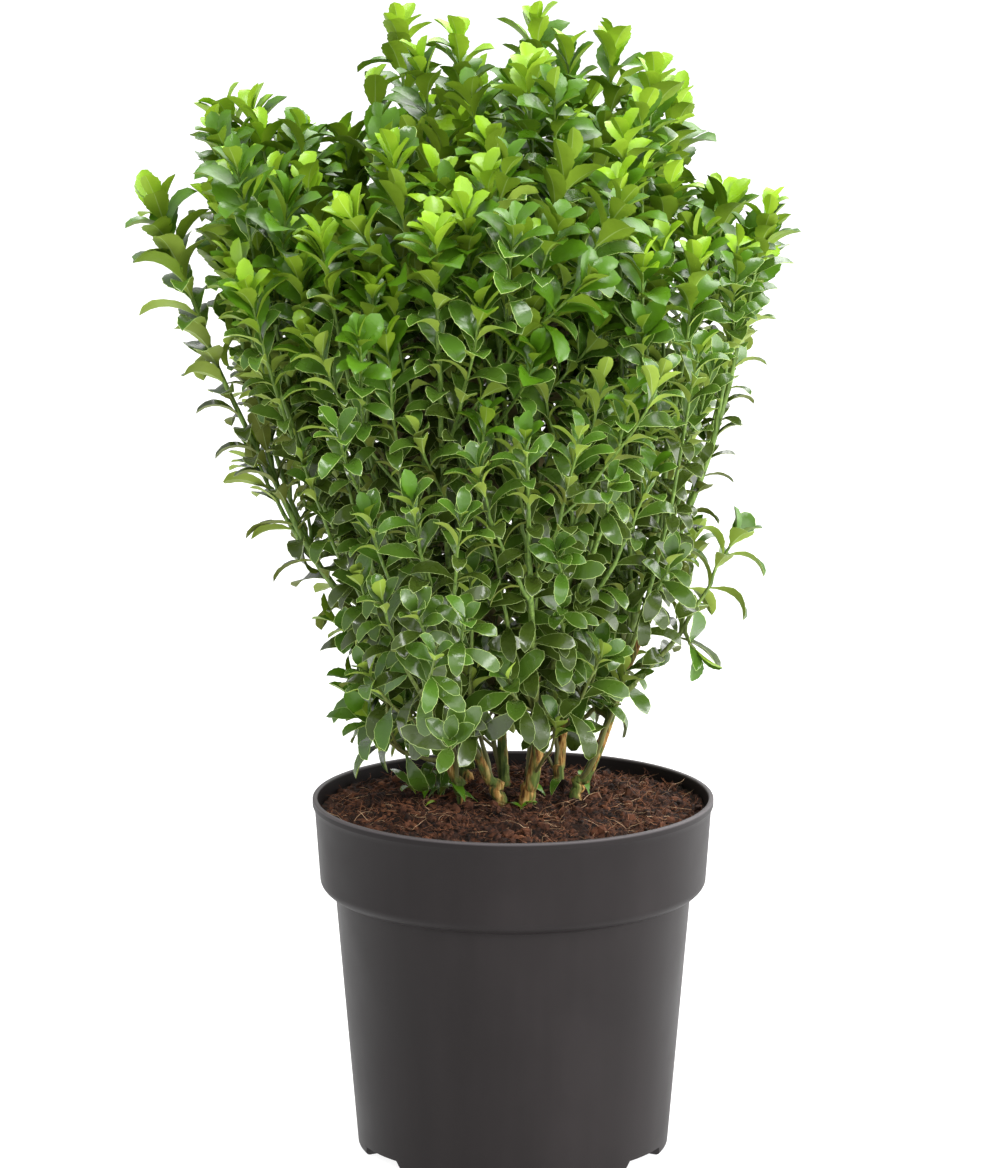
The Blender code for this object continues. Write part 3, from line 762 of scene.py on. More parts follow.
# one try at a twig of a kind on a carrier: None where it would leave the crown
def growSide(kind, carrier, dice):
    k = twigKinds[kind]
    whole = carrier.lengths[-1]
    share = dice.uniform(*k["starts"])
    start, onward, radius = carrier.at(share * whole)
    outward = ((start - growth["middle"]) * Vector((1, 1, 0))).normalized()
    bearing = dice.uniform(0, math.tau)
    if "ends" in k:
        end = share + (1 - share) * dice.uniform(*k["ends"])
        beyond, direction = carrier.at(min(1, end) * whole)[:2]
        beyond = beyond + direction * max(0, end - 1) * whole
        side = sideways(direction, bearing)
        nearness = min(1, (end - share) * whole / growth["offsetReach"])
        tip = beyond + side * dice.uniform(*k["offset"]) * nearness
    else:
        side = sideways(onward, bearing)
        leaning = (onward + side * dice.uniform(*k["lean"])).normalized()
        tip = start + leaning * dice.uniform(*k["lengths"])
    if side.dot(outward) > k["outward"] or not inOutline(tip, *k["over"]) or tip.z < growth["lowestTip"]:
        return None
    edge = growth["edge"]
    if any(not cadBox[0][axis] + edge < tip[axis] < cadBox[1][axis] - edge for axis in (0, 1)):
        return None
    points = kinked(curvePoints(growthCurve(start, tip), k["points"]), dice)
    radii = taper(min(k["radius"], radius * growth["thinner"]), growth["budRadius"], k["points"])
    return Twig(carrier.name, points, radii, dice.uniform(*k["vigour"]))


def growTwigs(room, stemLines):
    twigs, sleeves = [], Room(growth["sleeveCell"])
    for number, name in enumerate(shoots):
        addTwig(twigs, room, sleeves, growMain(number, name), True)
    for number, (name, (carrier, share, tip)) in enumerate(sideShoots.items()):
        bearer = next(twig for twig in twigs if twig.name == carrier)
        start = bearer.at(share * bearer.lengths[-1])[0]
        points = curvePoints(growthCurve(start, Vector(tip)), growth["points"])
        points = kinked(points, random.Random(number))
        addTwig(twigs, room, sleeves, leader(name, points), True)
    stems = [Twig(name, *line, 0) for name, line in zip(limbSizes["stems"], stemLines)]
    kinds = (("beside", list(twigs)), ("runner", stems), ("short", twigs), ("sprig", stems))
    for order, (kind, carriers) in enumerate(kinds):
        for number, carrier in enumerate(list(carriers)):
            dice = random.Random(growth["seed"] * 1000 * (order + 1) + number)
            for attempt in range(twigKinds[kind]["tries"]):
                twig = growSide(kind, carrier, dice)
                if twig:
                    addTwig(twigs, room, sleeves, twig)
        print("%s twigs: %d in all" % (kind, len(twigs)))
    return twigs


def buildTwigs(tree, twigs):
    g = growth
    values = {"Sides": g["sides"], "Step": g["step"], "Relief": g["relief"], "Grain": float(g["grain"]),
              "Finish": twigFinish("greenTwigs", g["dark"], g["light"], g["brown"], g["browning"])}
    lines = lineMesh([(twig.points, twig.radii) for twig in twigs])
    keep(grown("twigs", lines, tree, values), "foliage", *shoots)


# leaves

# in shares of a leaf's length
leafSizes = {
    "stations": (0.0, 0.16, 0.33, 0.50, 0.65, 0.79, 0.92), "bladeStart": 0.08,
    "rise": 1.25, "width": 0.435, "curl": 1.45, "petiole": 0.045, "rib": 0.032, "ribTaper": 0.7,
    "tooth": 0.021, "oldTooth": 0.013, "toothPlace": 0.72, "firstTooth": 1, "lastTooth": 6,
    "thickness": 0.015, "margin": 0.011, "ridge": 0.009, "steps": 12, "cupped": 0.5, "cuppedBend": 0.6,
    "waves": 9, "waveHeight": 4, "marginShare": 0.3, "sharpAngle": 55, "proxy": (0.30, 0.55, 0.80),
}

leafShapes = {   # bend back, fold of the halves, twist, wave of the margin, width, its fall to the tip
    "tipUpright": (0.40, 0.45, 0.00, 0.00, 0.98, 0.95),
    "tipArched": (0.85, 0.42, 0.10, 0.02, 1.04, 0.95),
    "arched": (1.30, 0.46, 0.14, 0.02, 1.02, 0.95),
    "level": (0.95, 0.42, -0.18, 0.02, 1.06, 0.92),
    "horn": (1.70, 0.48, -0.10, 0.02, 0.68, 0.90),
    "rolled": (1.35, 0.40, 0.16, 0.03, 0.68, 0.86),
    "long": (0.95, 0.34, 0.20, 0.03, 0.72, 0.78),
    "longLevel": (0.60, 0.34, -0.14, 0.04, 0.70, 0.78),
}


# half the blade's width, teeth aside
def bladeWidth(shape, share):
    s = leafSizes
    fall = shape[-1]
    along = min(1, max(0, (share - s["bladeStart"]) / (1 - s["bladeStart"])))
    widest = s["rise"] / (s["rise"] + fall)
    full = widest ** s["rise"] * (1 - widest) ** fall
    return s["width"] / 2 * along ** s["rise"] * (1 - along) ** fall / full + s["petiole"] / 2


# a point of the leaf: its share of the length, how far across, and how far off the surface
def leafPoint(shape, share, across, off=0.0):
    s = leafSizes
    bend, fold, twist, wave, width = shape[:5]
    place = Vector((0, 0, 0))
    for step in range(s["steps"]):
        angle = bend * ((step + 0.5) / s["steps"] * share) ** s["curl"]
        place += Vector((0, -math.sin(angle), math.cos(angle))) * share / s["steps"]
    angle = bend * share ** s["curl"]
    normal = Vector((0, math.cos(angle), math.sin(angle)))
    turn = twist * share
    wide = across * width
    lift = fold * abs(wide) + wave * math.sin(share * s["waves"]) * wide * s["waveHeight"]
    lift -= s["cupped"] * wide * wide if bend > s["cuppedBend"] else 0
    sideward = Vector((1, 0, 0)) * math.cos(turn) + normal * math.sin(turn)
    outward = normal * math.cos(turn) - Vector((1, 0, 0)) * math.sin(turn)
    return place + sideward * wide + outward * (lift + off)


# one half's edge from root to tip: notches at the stations and a tooth past each
def edgeShares(shape, side, tooth):
    s = leafSizes
    points = []
    for index, share in enumerate(s["stations"]):
        half = bladeWidth(shape, share) if share else s["petiole"] / 2
        points.append([(share, side * half)])
        if s["firstTooth"] <= index < s["lastTooth"]:
            following = s["stations"][index + 1]
            place = mix(share, following, s["toothPlace"])
            points[-1].append((place, side * (bladeWidth(shape, place) + tooth)))
    return points


# a closed leaf: the upper blade, the under blade with its raised rib, and on old leaves a pale margin;
# each face is numbered by its finish
def leafMesh(name, shape, isOld):
    s = leafSizes
    build = bmesh.new()
    sides = build.faces.layers.int.new("side")

    def face(corners, kind):
        build.faces.new(corners)[sides] = kind

    def corner(share, across, off=0.0):
        return build.verts.new(leafPoint(shape, share, across, off))

    stations = s["stations"]
    rimTip = corner(1, 0)
    upperTip = corner(1 - s["margin"], 0, s["thickness"] / 4) if isOld else rimTip
    ribTop = [corner(share, 0, s["thickness"] / 2 - s["ridge"] / 2) for share in stations]
    ribLow = {}
    for side in (-1, 1):
        halves = [s["rib"] / 2 * side * (1 - s["ribTaper"] * share) for share in stations]
        depth = s["thickness"] / 2 + s["ridge"]
        ribLow[side] = [corner(share, half, -depth) for share, half in zip(stations, halves)]
    for side in (-1, 1):
        rim, upper = [], []
        for group in edgeShares(shape, side, s["oldTooth"] if isOld else s["tooth"]):
            rim.append([corner(*point) for point in group])
            if isOld:
                limits = [abs(across) * s["marginShare"] for share, across in group]
                insets = [side * min(s["margin"], limit) for limit in limits]
                upper.append([corner(share, across - inset, s["thickness"] / 4)
                              for (share, across), inset in zip(group, insets)])
            else:
                upper.append(rim[-1])
        for rib, edges, end, kind in ((ribTop, upper, upperTip, 0), (ribLow[side], rim, rimTip, 1)):
            for index in range(len(stations) - 1):
                face(edges[index] + [edges[index + 1][0], rib[index + 1], rib[index]], kind)
            face((edges[-1][0], end, rib[-1]), kind)
        if isOld:
            outer = [vert for group in rim for vert in group] + [rimTip]
            inner = [vert for group in upper for vert in group] + [upperTip]
            for a, b, c, d in zip(outer, outer[1:], inner[1:], inner):
                face((a, b, c, d), 2)
            face((rim[0][0], upper[0][0], ribTop[0], ribLow[side][0]), 1)
        else:
            face((rim[0][0], ribTop[0], ribLow[side][0]), 1)
    for index in range(len(stations) - 1):
        face((ribLow[-1][index], ribLow[-1][index + 1], ribLow[1][index + 1], ribLow[1][index]), 2)
    face((ribLow[-1][-1], rimTip, ribLow[1][-1]), 2)
    face((ribLow[-1][0], ribTop[0], ribLow[1][0]), 1)
    bmesh.ops.recalc_face_normals(build, faces=build.faces)
    mesh = meshFrom(build, name)
    mesh.shade_smooth()
    mesh.set_sharp_from_angle(angle=math.radians(s["sharpAngle"]))
    return mesh


# a coarse sheet of each shape, past its root, for testing what a leaf would touch
def leafProxy(shape):
    corners = []
    for share in leafSizes["proxy"]:
        corners += [leafPoint(shape, share, side * bladeWidth(shape, share)) for side in (-1, 0, 1)]
    corners.append(leafPoint(shape, 1, 0))
    faces = [(0, 1, 4, 3), (1, 2, 5, 4), (3, 4, 7, 6), (4, 5, 8, 7), (6, 7, 9), (7, 8, 9)]
    return corners, faces


# tables run by height above the ground; spans of leaf shapes run by distance from the bud
leafing = {
    "pairGap": ((0.32, 0.0172), (0.42, 0.0148), (0.52, 0.0113)), "tipGap": 0.0050, "gapReach": 0.040,
    "gaps": (0.85, 1.2), "bud": 0.0005, "bareFoot": 0.014,
    "shootGap": {"left_outer": 0.76, "right_outer": 0.70, "right_back_outer": 0.85},
    "lowestNode": ((-0.080, 0.221), (-0.062, 0.229), (-0.045, 0.247)),   # runs by place across
    "length": 0.0285, "tipLength": 0.0180, "lengthReach": 0.016, "sizes": (0.86, 1.10),
    "scale": ((0.26, 1.10), (0.34, 0.96), (0.44, 0.94), (0.54, 1.12)),
    "shootScale": {"left_outer": 1.22, "left_edge": 1.15, "left_edge_low": 1.15, "right_low": 1.15,
                   "right_low_under": 1.12, "right_outer": 0.82},
    "angle": ((0.26, 84), (0.33, 56), (0.40, 33)), "tipAngle": 12, "angleStart": 0.006,
    "angleReach": 0.045, "angleSpread": 9, "turnSpread": 11, "roll": 16,
    "lowShapes": (0.26, 0.34), "lowKinds": ((0.010, (0, 2)), (1, (5, 8))),
    "middleKinds": ((0.010, (0, 2)), (1, (4, 7))),
    "highShapes": (0.42, 0.50), "highKinds": ((0.016, (0, 2)), (0.030, (1, 4)), (1, (2, 4))),
    "tries": 7, "shrink": 0.045, "rootSunk": 0.4, "over": 0.004, "overEdge": (9, -6),
    "freshness": (0.50, 1.50), "toneReach": ((0.40, 0.012), (0.60, 0.078)), "tone": (0.75, 1.3),
    "startAge": ((0.28, 1.7), (0.44, 0.9), (0.50, 0.0)), "mainAge": 0.45, "weakAge": 0.7,
    "inner": 0.50, "innerAge": 2,
    "crownRadius": ((0.26, 0.06), (0.35, 0.11), (0.45, 0.15), (0.60, 0.18)),
}

# each tone's oldest age and the colours of its upper and under side
leafTones = {
    "tip": (0.22, (0.225, 0.405, 0.014), (0.298, 0.470, 0.024)),
    "young": (0.90, (0.068, 0.170, 0.006), (0.186, 0.296, 0.016)),
    "middle": (2.40, (0.060, 0.138, 0.013), (0.295, 0.415, 0.052)),
    "old": (5.0, (0.052, 0.108, 0.011), (0.265, 0.355, 0.052)),
    "deep": (99, (0.040, 0.067, 0.008), (0.170, 0.208, 0.032)),
    # inner: a brown-grey for old leaves near the crown's axis, painted shade standing in for the look of
    # the shaded interior
    "inner": (999, (0.155, 0.135, 0.062), (0.245, 0.205, 0.095)),
}


# pairs of leaves down each twig, each pair a quarter turn on from the last, in order from the buds
def leafNodes(twigs):
    s = leafing
    nodes = []
    for number, twig in enumerate(twigs):
        dice = random.Random(growth["seed"] * 10000 + number)
        whole = twig.lengths[-1]
        bearing = dice.uniform(0, math.tau)
        twig.lateness = 1 if twig.vigour == 1 else random.Random(number).uniform(*s["freshness"])
        fromTip, order = s["bud"], 0
        while fromTip < whole - s["bareFoot"]:
            for sign in (1, -1):
                nodes.append((fromTip, twig, bearing + order * math.pi / 2, sign, dice))
            order += 1
            widest = graded(twig.at(whole - fromTip)[0].z, s["pairGap"])
            widest *= s["shootGap"].get(twig.name, 1)
            fromTip += mix(s["tipGap"], widest, fromTip / s["gapReach"]) * dice.uniform(*s["gaps"])
    return sorted(nodes, key=lambda node: node[0])


def leafKind(dice, height, fromTip):
    s = leafing
    if height > dice.uniform(*s["highShapes"]):
        kinds = s["highKinds"]
    else:
        kinds = s["lowKinds"] if height < dice.uniform(*s["lowShapes"]) else s["middleKinds"]
    return dice.randrange(*next(span for reach, span in kinds if fromTip < reach))


def leafTone(dice, place, twig, fromTip):
    s = leafing
    age = graded(place.z, s["startAge"]) * (s["mainAge"] if twig.vigour == 1 else 1)
    age += (1 - twig.vigour) * s["weakAge"]
    age += fromTip / graded(place.z, s["toneReach"]) * dice.uniform(*s["tone"])
    age *= twig.lateness
    # old leaves near the crown's axis take the inner tone, a painted shade for the crown's interior
    fromAxis = (place - growth["middle"]).xy.length / graded(place.z, s["crownRadius"])
    if fromAxis < s["inner"] and age > s["innerAge"]:
        age = max(age, leafTones["deep"][0])
    return next(name for name, values in leafTones.items() if age < values[0])


# tries each leaf at a few slightly different turns, and takes the first that is clear of all others
def leafPlaces(twigs, room):
    s = leafing
    proxies = [leafProxy(shape) for shape in leafShapes.values()]
    reachLow = Vector(cadBox[0]) - Vector((1, 1, 0)) * s["over"]
    reachHigh = Vector(cadBox[1]) + Vector((1, 1, 1)) * s["over"]
    leaves = {tone: [] for tone in leafTones}
    for fromTip, twig, bearing, sign, dice in leafNodes(twigs):
        place, onward, radius = twig.at(twig.lengths[-1] - fromTip)
        if place.z < graded(place.x, s["lowestNode"]):
            continue
        for attempt in range(s["tries"]):
            lean = (fromTip + s["angleStart"]) / s["angleReach"]
            angle = mix(s["tipAngle"], graded(place.z, s["angle"]), lean)
            angle = math.radians(angle + dice.gauss(0, s["angleSpread"]) * (1 + attempt))
            swung = bearing + math.radians(dice.gauss(0, s["turnSpread"])) * (1 + attempt)
            side = sideways(onward, swung) * sign
            along = onward * math.cos(angle) + side * math.sin(angle)
            upper = (onward - along * onward.dot(along)).normalized()
            size = mix(s["tipLength"], s["length"], fromTip / s["lengthReach"])
            size *= dice.uniform(*s["sizes"]) * graded(place.z, s["scale"]) * (1 - s["shrink"] * attempt)
            size *= s["shootScale"].get(twig.name, 1)
            upper = Matrix.Rotation(math.radians(dice.gauss(0, s["roll"])), 3, along) @ upper
            turn = Matrix((upper.cross(along), upper, along)).transposed()
            kind = leafKind(dice, place.z, fromTip)
            root = place - along * radius * s["rootSunk"]
            whole = Matrix.Translation(root) @ turn.to_4x4() @ Matrix.Scale(size, 4)
            corners = [whole @ corner for corner in proxies[kind][0]]
            if any(c[a] < reachLow[a] or c[a] > reachHigh[a] for c in corners for a in range(3)):
                continue
            if twig.vigour < 1 and not inOutline(corners[-1], *s["overEdge"]):
                continue
            tree = BVHTree.FromPolygons(corners, proxies[kind][1])
            if not room.isFree(tree, corners):
                continue
            room.take(tree, corners)
            leaves[leafTone(dice, place, twig, fromTip)].append((root, turn.to_euler(), size, kind))
            break
    return leaves


# small leaves at the stems' feet: tone, place, bearing, lean of the blade and length
footLift, footKinds = 0.0012, ("rolled", "long", "longLevel")
footLeaves = (
    ("young", (-0.041, 0.026), 250, 24, 0.017), ("young", (-0.044, 0.024), 205, 38, 0.015),
    ("young", (-0.037, 0.027), 330, 34, 0.015), ("middle", (-0.049, 0.012), 200, 40, 0.018),
    ("young", (-0.027, -0.008), 310, 30, 0.018), ("middle", (-0.020, -0.004), 350, 55, 0.014),
    ("young", (0.004, -0.018), 215, 52, 0.014), ("young", (0.006, -0.018), 330, 56, 0.012),
    ("young", (0.020, 0.012), 340, 42, 0.017), ("middle", (0.022, 0.014), 250, 30, 0.016),
    ("tip", (-0.050, -0.012), 230, 68, 0.010), ("young", (0.044, 0.016), 300, 30, 0.017),
    ("old", (-0.052, 0.020), 245, 12, 0.021), ("middle", (-0.046, 0.014), 290, 22, 0.019),
    ("old", (-0.043, 0.019), 225, 8, 0.022), ("middle", (-0.056, 0.016), 60, 42, 0.018),
    ("old", (-0.042, 0.011), 120, 38, 0.018), ("old", (-0.058, 0.021), 330, 40, 0.019),
    ("middle", (-0.040, 0.014), 255, 16, 0.020), ("young", (-0.051, 0.006), 262, 48, 0.012),
)


def addFootLeaves(leaves):
    kinds = [list(leafShapes).index(name) for name in footKinds]
    for number, (tone, (x, y), bearing, lean, length) in enumerate(footLeaves):
        root = Vector((x, y, peatHeight(x, y) + footLift))
        turn = Euler((math.radians(lean), 0, math.radians(bearing - 90)))
        leaves[tone].append((root, turn, length, kinds[number % len(kinds)]))


# leaves from a collection of shapes, set at the points' own turns and sizes
def leafTree():
    tree, given = newTree("leaves", ("Shapes", "Collection"), ("Upper", "Material"),
                          ("Under", "Material"), ("Rib", "Material"))
    shapes = out(tree, "GeometryNodeCollectionInfo", {
        "Collection": given["Shapes"], "Separate Children": True, "Reset Children": True})
    kind = out(tree, "GeometryNodeInputNamedAttribute", {"Name": "kind"}, data_type="INT")
    turn = out(tree, "GeometryNodeInputNamedAttribute", {"Name": "turn"}, data_type="FLOAT_VECTOR")
    size = out(tree, "GeometryNodeInputNamedAttribute", {"Name": "size"}, data_type="FLOAT")
    placed = out(tree, "GeometryNodeInstanceOnPoints", {
        "Points": given["Geometry"], "Instance": shapes, "Pick Instance": True, "Instance Index": kind,
        "Rotation": out(tree, "FunctionNodeEulerToRotation", {0: turn}), "Scale": size})
    flow = out(tree, "GeometryNodeRealizeInstances", {"Geometry": placed})
    part = out(tree, "GeometryNodeInputNamedAttribute", {"Name": "side"}, data_type="INT")
    for number, label in enumerate(("Upper", "Under", "Rib")):
        chosen = out(tree, "FunctionNodeCompare", {
            2: part, 3: number}, data_type="INT", operation="EQUAL")
        flow = out(tree, "GeometryNodeSetMaterial", {
            "Geometry": flow, "Selection": chosen, "Material": given[label]})
    put(tree, "NodeGroupOutput", {0: flow})
    return tree


# a point for each leaf, with its turn, size and shape
def pointMesh(leaves):
    roots, turns, sizes, kinds = zip(*leaves)
    mesh = bpy.data.meshes.new("leafPoints")
    mesh.from_pydata(roots, [], [])
    angles = [angle for turn in turns for angle in turn]
    mesh.attributes.new("turn", "FLOAT_VECTOR", "POINT").data.foreach_set("vector", angles)
    mesh.attributes.new("size", "FLOAT", "POINT").data.foreach_set("value", sizes)
    mesh.attributes.new("kind", "INT", "POINT").data.foreach_set("value", kinds)
    return mesh


leafLooks = {   # most leaves in a piece, gloss, specular, coat, and how pale the rib and margin are
    "fresh": (2000, 0.32, 0.32, 0.12, 0.26),
    "old": (1200, 0.24, 0.42, 0.25, 0.46),
    "under": (0.55, 0.3, 0.0004), "rib": (0.5, 0.25, 0.0003), "relief": 0.0004,
    "pale": (0.55, 0.72, 0.30),
}


# one or more pieces of leaves for each tone
def buildLeaves(leaves):
    tree = leafTree()
    for tone, (oldest, upper, under) in leafTones.items():
        isOld = tone in ("middle", "old", "deep")
        most, gloss, specular, coat, paleShare = leafLooks["old" if isOld else "fresh"]
        shapes = collected("leafShapes", [leafMesh(*item, isOld) for item in leafShapes.items()])
        pale = tuple(mix(a, b, paleShare) for a, b in zip(under, leafLooks["pale"]))
        values = {
            "Shapes": shapes,
            "Upper": leafFinish(tone + "Upper", upper, gloss, specular, leafLooks["relief"], coat),
            "Under": leafFinish(tone + "Under", under, *leafLooks["under"]),
            "Rib": leafFinish(tone + "Rib", pale, *leafLooks["rib"])}
        count = math.ceil(len(leaves[tone]) / most)
        for number in range(count):
            name = "leaves_%s_%d" % (tone, number + 1)
            keep(grown(name, pointMesh(leaves[tone][number::count]), tree, values), "foliage", *shoots)
        discard(shapes)


# peat

peatSizes = {
    "edge": 0.1975, "heapDrop": 0.0015, "heapRadius": 0.060, "heapFoot": 0.105, "gap": 0.0002,
    "rings": 76, "steps": 256, "lumps": ((70, 0.0030), (190, 0.0030), (420, 0.0016)),
    "draft": 0.002, "low": 0.0078, "footGap": 0.004,
    "bareEdge": 0.004, "topSlope": 0.2, "topFoot": 0.1,
}


def peatHeight(x, y):
    s = peatSizes
    radius = math.hypot(x, y)
    slope = min(1, max(0, (radius - s["heapRadius"]) / (s["heapFoot"] - s["heapRadius"])))
    height = mix(peatHigh.z - s["heapDrop"], s["edge"], slope * slope * (3 - 2 * slope))
    for scale, reach in s["lumps"]:
        height += noise.noise(Vector((x, y, 0)) * scale) * reach
    return height


# the whole filling: its top follows the heap and its lumps, its foot stands inside the ring floor
def buildPeat():
    s = peatSizes
    radius = peatHigh.x - s["gap"]
    profile = [(radius * i / s["rings"], 1) for i in range(s["rings"] + 1)]
    mesh = plainMesh(turned("peatBody", profile + [(radius - s["draft"], 0), (0, 0)], s["steps"]))
    footRadius = potSizes["ring"] - s["footGap"]
    for vert in mesh.vertices:
        if vert.co.z > 0.5:   # the profile's top is at 1, its foot at 0
            vert.co.z = peatHeight(vert.co.x, vert.co.y)
        else:
            flat = Vector((vert.co.x, vert.co.y, 0))
            vert.co = flat.normalized() * min(flat.length, footRadius) + up * s["low"]
    shape = bmesh.new()
    shape.from_mesh(mesh)
    bmesh.ops.recalc_face_normals(shape, faces=shape.faces)
    shape.to_mesh(mesh)
    shape.free()
    mesh.materials.clear()
    mesh.materials.append(peatFinish())
    mesh.shade_smooth()
    keep(linkNew("peatGround", mesh), "peat", "peat")
    return mesh


# loose litter on a surface, lying or standing at random turns
def litterTree():
    tree, given = newTree("litter", ("Shapes", "Collection"), ("Density", "Float"),
                          ("Smallest", "Float"), ("Largest", "Float"), ("Tilt", "Float"),
                          ("Lift", "Float"), ("Seed", "Int"), ("Finish", "Material"))
    spread = out(tree, "GeometryNodeDistributePointsOnFaces", {
        "Mesh": given["Geometry"], "Density": given["Density"], "Seed": given["Seed"]})
    lifted = out(tree, "ShaderNodeCombineXYZ", {"Z": given["Lift"]})
    raised = out(tree, "GeometryNodeSetPosition", {"Geometry": spread, "Offset": lifted})
    shapes = out(tree, "GeometryNodeCollectionInfo", {
        "Collection": given["Shapes"], "Separate Children": True, "Reset Children": True})
    tilt = given["Tilt"]
    back = out(tree, "ShaderNodeMath", {0: tilt, 1: -1.0}, operation="MULTIPLY")
    lowest = out(tree, "ShaderNodeCombineXYZ", {0: back, 1: back, 2: 0.0})
    highest = out(tree, "ShaderNodeCombineXYZ", {0: tilt, 1: tilt, 2: math.tau})
    turn = out(tree, "FunctionNodeRandomValue", {0: lowest, 1: highest, "Seed": given["Seed"]},
               data_type="FLOAT_VECTOR")
    size = put(tree, "FunctionNodeRandomValue", {
        2: given["Smallest"], 3: given["Largest"], "Seed": given["Seed"]}, data_type="FLOAT").outputs[1]
    pick = put(tree, "FunctionNodeRandomValue", {
        4: 0, 5: 99, "Seed": given["Seed"]}, data_type="INT").outputs[2]
    placed = out(tree, "GeometryNodeInstanceOnPoints", {
        "Points": raised, "Instance": shapes, "Pick Instance": True, "Instance Index": pick,
        "Rotation": out(tree, "FunctionNodeEulerToRotation", {0: turn}), "Scale": size})
    return endTree(tree, placed, given["Finish"])


litterShapes = {
    "dent": 0.45, "dentScale": 1.3, "dentShift": 7, "flat": 0.7,
    "joints": 5, "swing": 0.7, "rise": (-0.25, 0.3), "thinning": 0.12,
    "chipWidth": (0.25, 0.5), "chipHeight": (0.10, 0.2), "skew": 0.12, "skewShares": (1, 0.6, 0.3),
}


# a crumb is a dented ball, unit size
def crumbMesh(seed):
    s = litterShapes
    shape = bmesh.new()
    bmesh.ops.create_icosphere(shape, subdivisions=1, radius=1)
    for vert in shape.verts:
        shift = Vector((seed * s["dentShift"], 0, 0))
        vert.co *= 1 + s["dent"] * noise.noise(vert.co * s["dentScale"] + shift)
        vert.co.z *= s["flat"]
    return meshFrom(shape, "crumb")


# a fibre is a thin bent three-sided strand of unit length, lying flat
def fibreMesh(seed, thickness):
    s = litterShapes
    dice = random.Random(seed)
    points = [Vector((0, 0, 0))]
    heading = 0.0
    for step in range(s["joints"]):
        heading += dice.uniform(-s["swing"], s["swing"])
        rise = dice.uniform(*s["rise"])
        points.append(points[-1] + Vector((math.cos(heading), math.sin(heading), rise)) / s["joints"])
    radii = [thickness * (1 - s["thinning"] * i) for i in range(len(points))]
    corners, faces = facesOf(points, radii)
    last = len(corners) - 3
    mesh = bpy.data.meshes.new("fibre")
    mesh.from_pydata(corners, [], faces + [(2, 1, 0), (last, last + 1, last + 2)])
    return mesh


# a chip is a thin splinter of bark, unit length
def chipMesh(seed):
    s = litterShapes
    dice = random.Random(seed)
    shape = bmesh.new()
    bmesh.ops.create_cube(shape, size=1)
    for vert in shape.verts:
        vert.co *= Vector((1, dice.uniform(*s["chipWidth"]), dice.uniform(*s["chipHeight"])))
        skew = Vector([dice.uniform(-s["skew"], s["skew"]) for axis in range(3)])
        vert.co += skew * Vector(s["skewShares"])
    return meshFrom(shape, "chip")


# the peat's top alone, short of the wall
def topOnly(mesh):
    shape = bmesh.new()
    shape.from_mesh(mesh)
    below = [face for face in shape.faces if face.normal.z < peatSizes["topSlope"]
             or face.calc_center_median().z < peatSizes["topFoot"]]
    bmesh.ops.delete(shape, geom=below, context="FACES")
    edge = [vert for vert in shape.verts if vert.co.xy.length > peatHigh.x - peatSizes["bareEdge"]]
    bmesh.ops.delete(shape, geom=edge, context="VERTS")
    return meshFrom(shape, "peatTop")


# leaves out the crumbs and fibres that would reach through the pot's wall
def clearOfWall(thing, size):
    shape = bmesh.new()
    shape.from_mesh(thing.data)
    verts = shape.verts[:]
    over = []
    for start in range(0, len(verts), size):
        block = verts[start:start + size]
        if max(vert.co.xy.length for vert in block) > peatHigh.x:
            over.extend(block)
    bmesh.ops.delete(shape, geom=over, context="VERTS")
    shape.to_mesh(thing.data)
    shape.free()
    return thing


litterKinds = {   # shape, density, smallest, largest, tilt, lift, dark and light colour
    "crumbs": ("crumb", 46000, 0.0005, 0.0019, 3.1, 0.0002,
               (0.008, 0.004, 0.003), (0.095, 0.036, 0.018)),
    "clods": ("clod", 7000, 0.0018, 0.0042, 3.1, 0.0004, (0.012, 0.005, 0.003), (0.100, 0.036, 0.017)),
    "fibres": ("fibre", 56000, 0.004, 0.0125, 0.75, 0.0010, (0.032, 0.012, 0.007), (0.26, 0.105, 0.050)),
    "paleFibres": ("fine", 6500, 0.005, 0.015, 0.65, 0.0014, (0.24, 0.13, 0.070), (0.48, 0.32, 0.19)),
    "chips": ("chip", 3600, 0.002, 0.0058, 0.5, 0.0008, (0.05, 0.018, 0.009), (0.17, 0.065, 0.028)),
}


def buildLitter(ground):
    tree = litterTree()
    meshes = {
        "crumb": [crumbMesh(i) for i in range(4)],
        "clod": [crumbMesh(9 + i) for i in range(4)],
        "fibre": [fibreMesh(i, 0.016) for i in range(6)],
        "fine": [fibreMesh(20 + i, 0.013) for i in range(5)],
        "chip": [chipMesh(i) for i in range(5)],
    }
    labels = ("Density", "Smallest", "Largest", "Tilt", "Lift")
    for number, (name, (kind, *sizes, dark, light)) in enumerate(litterKinds.items()):
        shapes = collected(name, meshes[kind])
        values = {"Shapes": shapes, "Seed": number + 1, "Finish": litterFinish(name, dark, light)}
        values.update((label, float(size)) for label, size in zip(labels, sizes))
        litter = grown(name, topOnly(ground), tree, values)
        keep(clearOfWall(litter, len(meshes[kind][0].vertices)), "peat")
        discard(shapes)


# floor, light and camera

stage = {
    "floor": 60.0, "floorColour": (0.30, 0.30, 0.30), "floorGloss": (0.7, 0.2), "floorGlow": 0.92,
    "world": (1.0, 1.0, 1.0), "worldStrength": 0.62,
    "sun": (0.42, -0.95, 0.98), "sunPower": 1.60, "sunAngle": 60,
    "lights": (   # place, aim height, size, power
        ((2.1, -1.7, 1.3), 0.30, 1.3, 68),
        ((-1.5, -2.4, 2.2), 0.36, 0.40, 24),
        ((-0.4, -0.6, 3.4), 0.45, 1.20, 60),
        ((0.9, 2.3, 2.8), 0.45, 2.8, 92),
        ((2.4, 0.7, 0.9), 0.25, 2.4, 62),
    ),
    "camera": (-0.00746, -3.8895, 1.1398), "pitch": 11.76, "focalPixels": 6972,
    "photoWidth": 1000, "photoHeight": 1168, "sensor": 36, "clipEnd": 100,
}


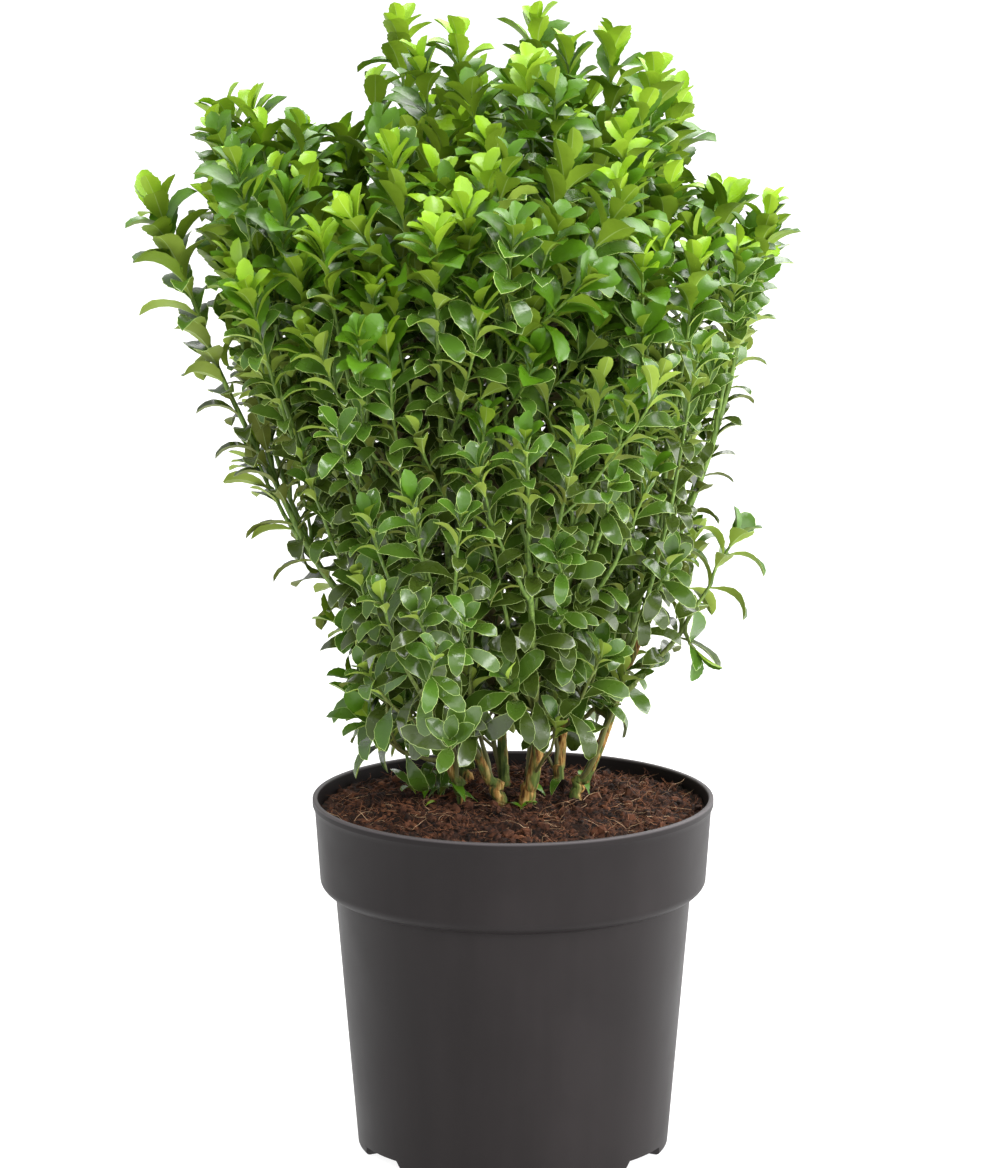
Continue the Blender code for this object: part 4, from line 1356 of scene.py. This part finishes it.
# a pale floor that gives off light, so that the ground shows as white as the world
def buildFloor():
    shape = bmesh.new()
    bmesh.ops.create_grid(shape, x_segments=1, y_segments=1, size=stage["floor"] / 2)
    material, _, shader = newMaterial("floor", stage["floorColour"], *stage["floorGloss"])
    shader.inputs["Emission Color"].default_value = (1, 1, 1, 1)
    shader.inputs["Emission Strength"].default_value = stage["floorGlow"]
    mesh = meshFrom(shape, "floor")
    mesh.materials.append(material)
    linkNew("floor", mesh)


def buildLights():
    world = bpy.data.worlds.new("studio")
    world.use_nodes = True
    background = world.node_tree.nodes["Background"]
    background.inputs["Color"].default_value = (*stage["world"], 1)
    background.inputs["Strength"].default_value = stage["worldStrength"]
    bpy.context.scene.world = world
    for number, (place, aim, size, power) in enumerate(stage["lights"]):
        lamp = bpy.data.lights.new("softbox%d" % (number + 1), "AREA")
        lamp.size = size
        lamp.energy = power
        thing = linkNew(lamp.name, lamp)
        thing.location = place
        thing.rotation_euler = (Vector((0, 0, aim)) - Vector(place)).to_track_quat("-Z", "Y").to_euler()
    sun = bpy.data.lights.new("sun", "SUN")
    sun.energy = stage["sunPower"]
    sun.angle = math.radians(stage["sunAngle"])
    linkNew("sun", sun).rotation_euler = Vector(stage["sun"]).to_track_quat("Z", "Y").to_euler()


def buildCamera():
    lens = bpy.data.cameras.new("camera")
    lens.sensor_fit = "VERTICAL"
    lens.sensor_height = stage["sensor"]
    lens.lens = stage["focalPixels"] / stage["photoHeight"] * stage["sensor"]
    lens.clip_end = stage["clipEnd"]
    camera = linkNew("camera", lens)
    camera.location = stage["camera"]
    camera.rotation_euler = Euler((math.radians(90 - stage["pitch"]), 0, 0))
    bpy.context.scene.camera = camera
    bpy.context.scene.view_settings.view_transform = "Standard"


buildFloor()
buildLights()
buildCamera()
print("stage done")
buildPot()
print("pot done")
limbs = limbTree()
limbLines = buildStems(limbs)
print("stems and boughs done")
room = Room(growth["cell"])
for linePoints, lineRadii in limbLines:
    corners, faces = facesOf(linePoints, lineRadii)
    room.take(BVHTree.FromPolygons(corners, faces), corners)
twigs = growTwigs(room, limbLines)
buildTwigs(limbs, twigs)
print("%d twigs done" % len(twigs))
leaves = leafPlaces(twigs, room)
print("%d leaves placed" % sum(len(group) for group in leaves.values()))
addFootLeaves(leaves)
buildLeaves(leaves)
ground = buildPeat()
buildLitter(ground)
print("peat done")
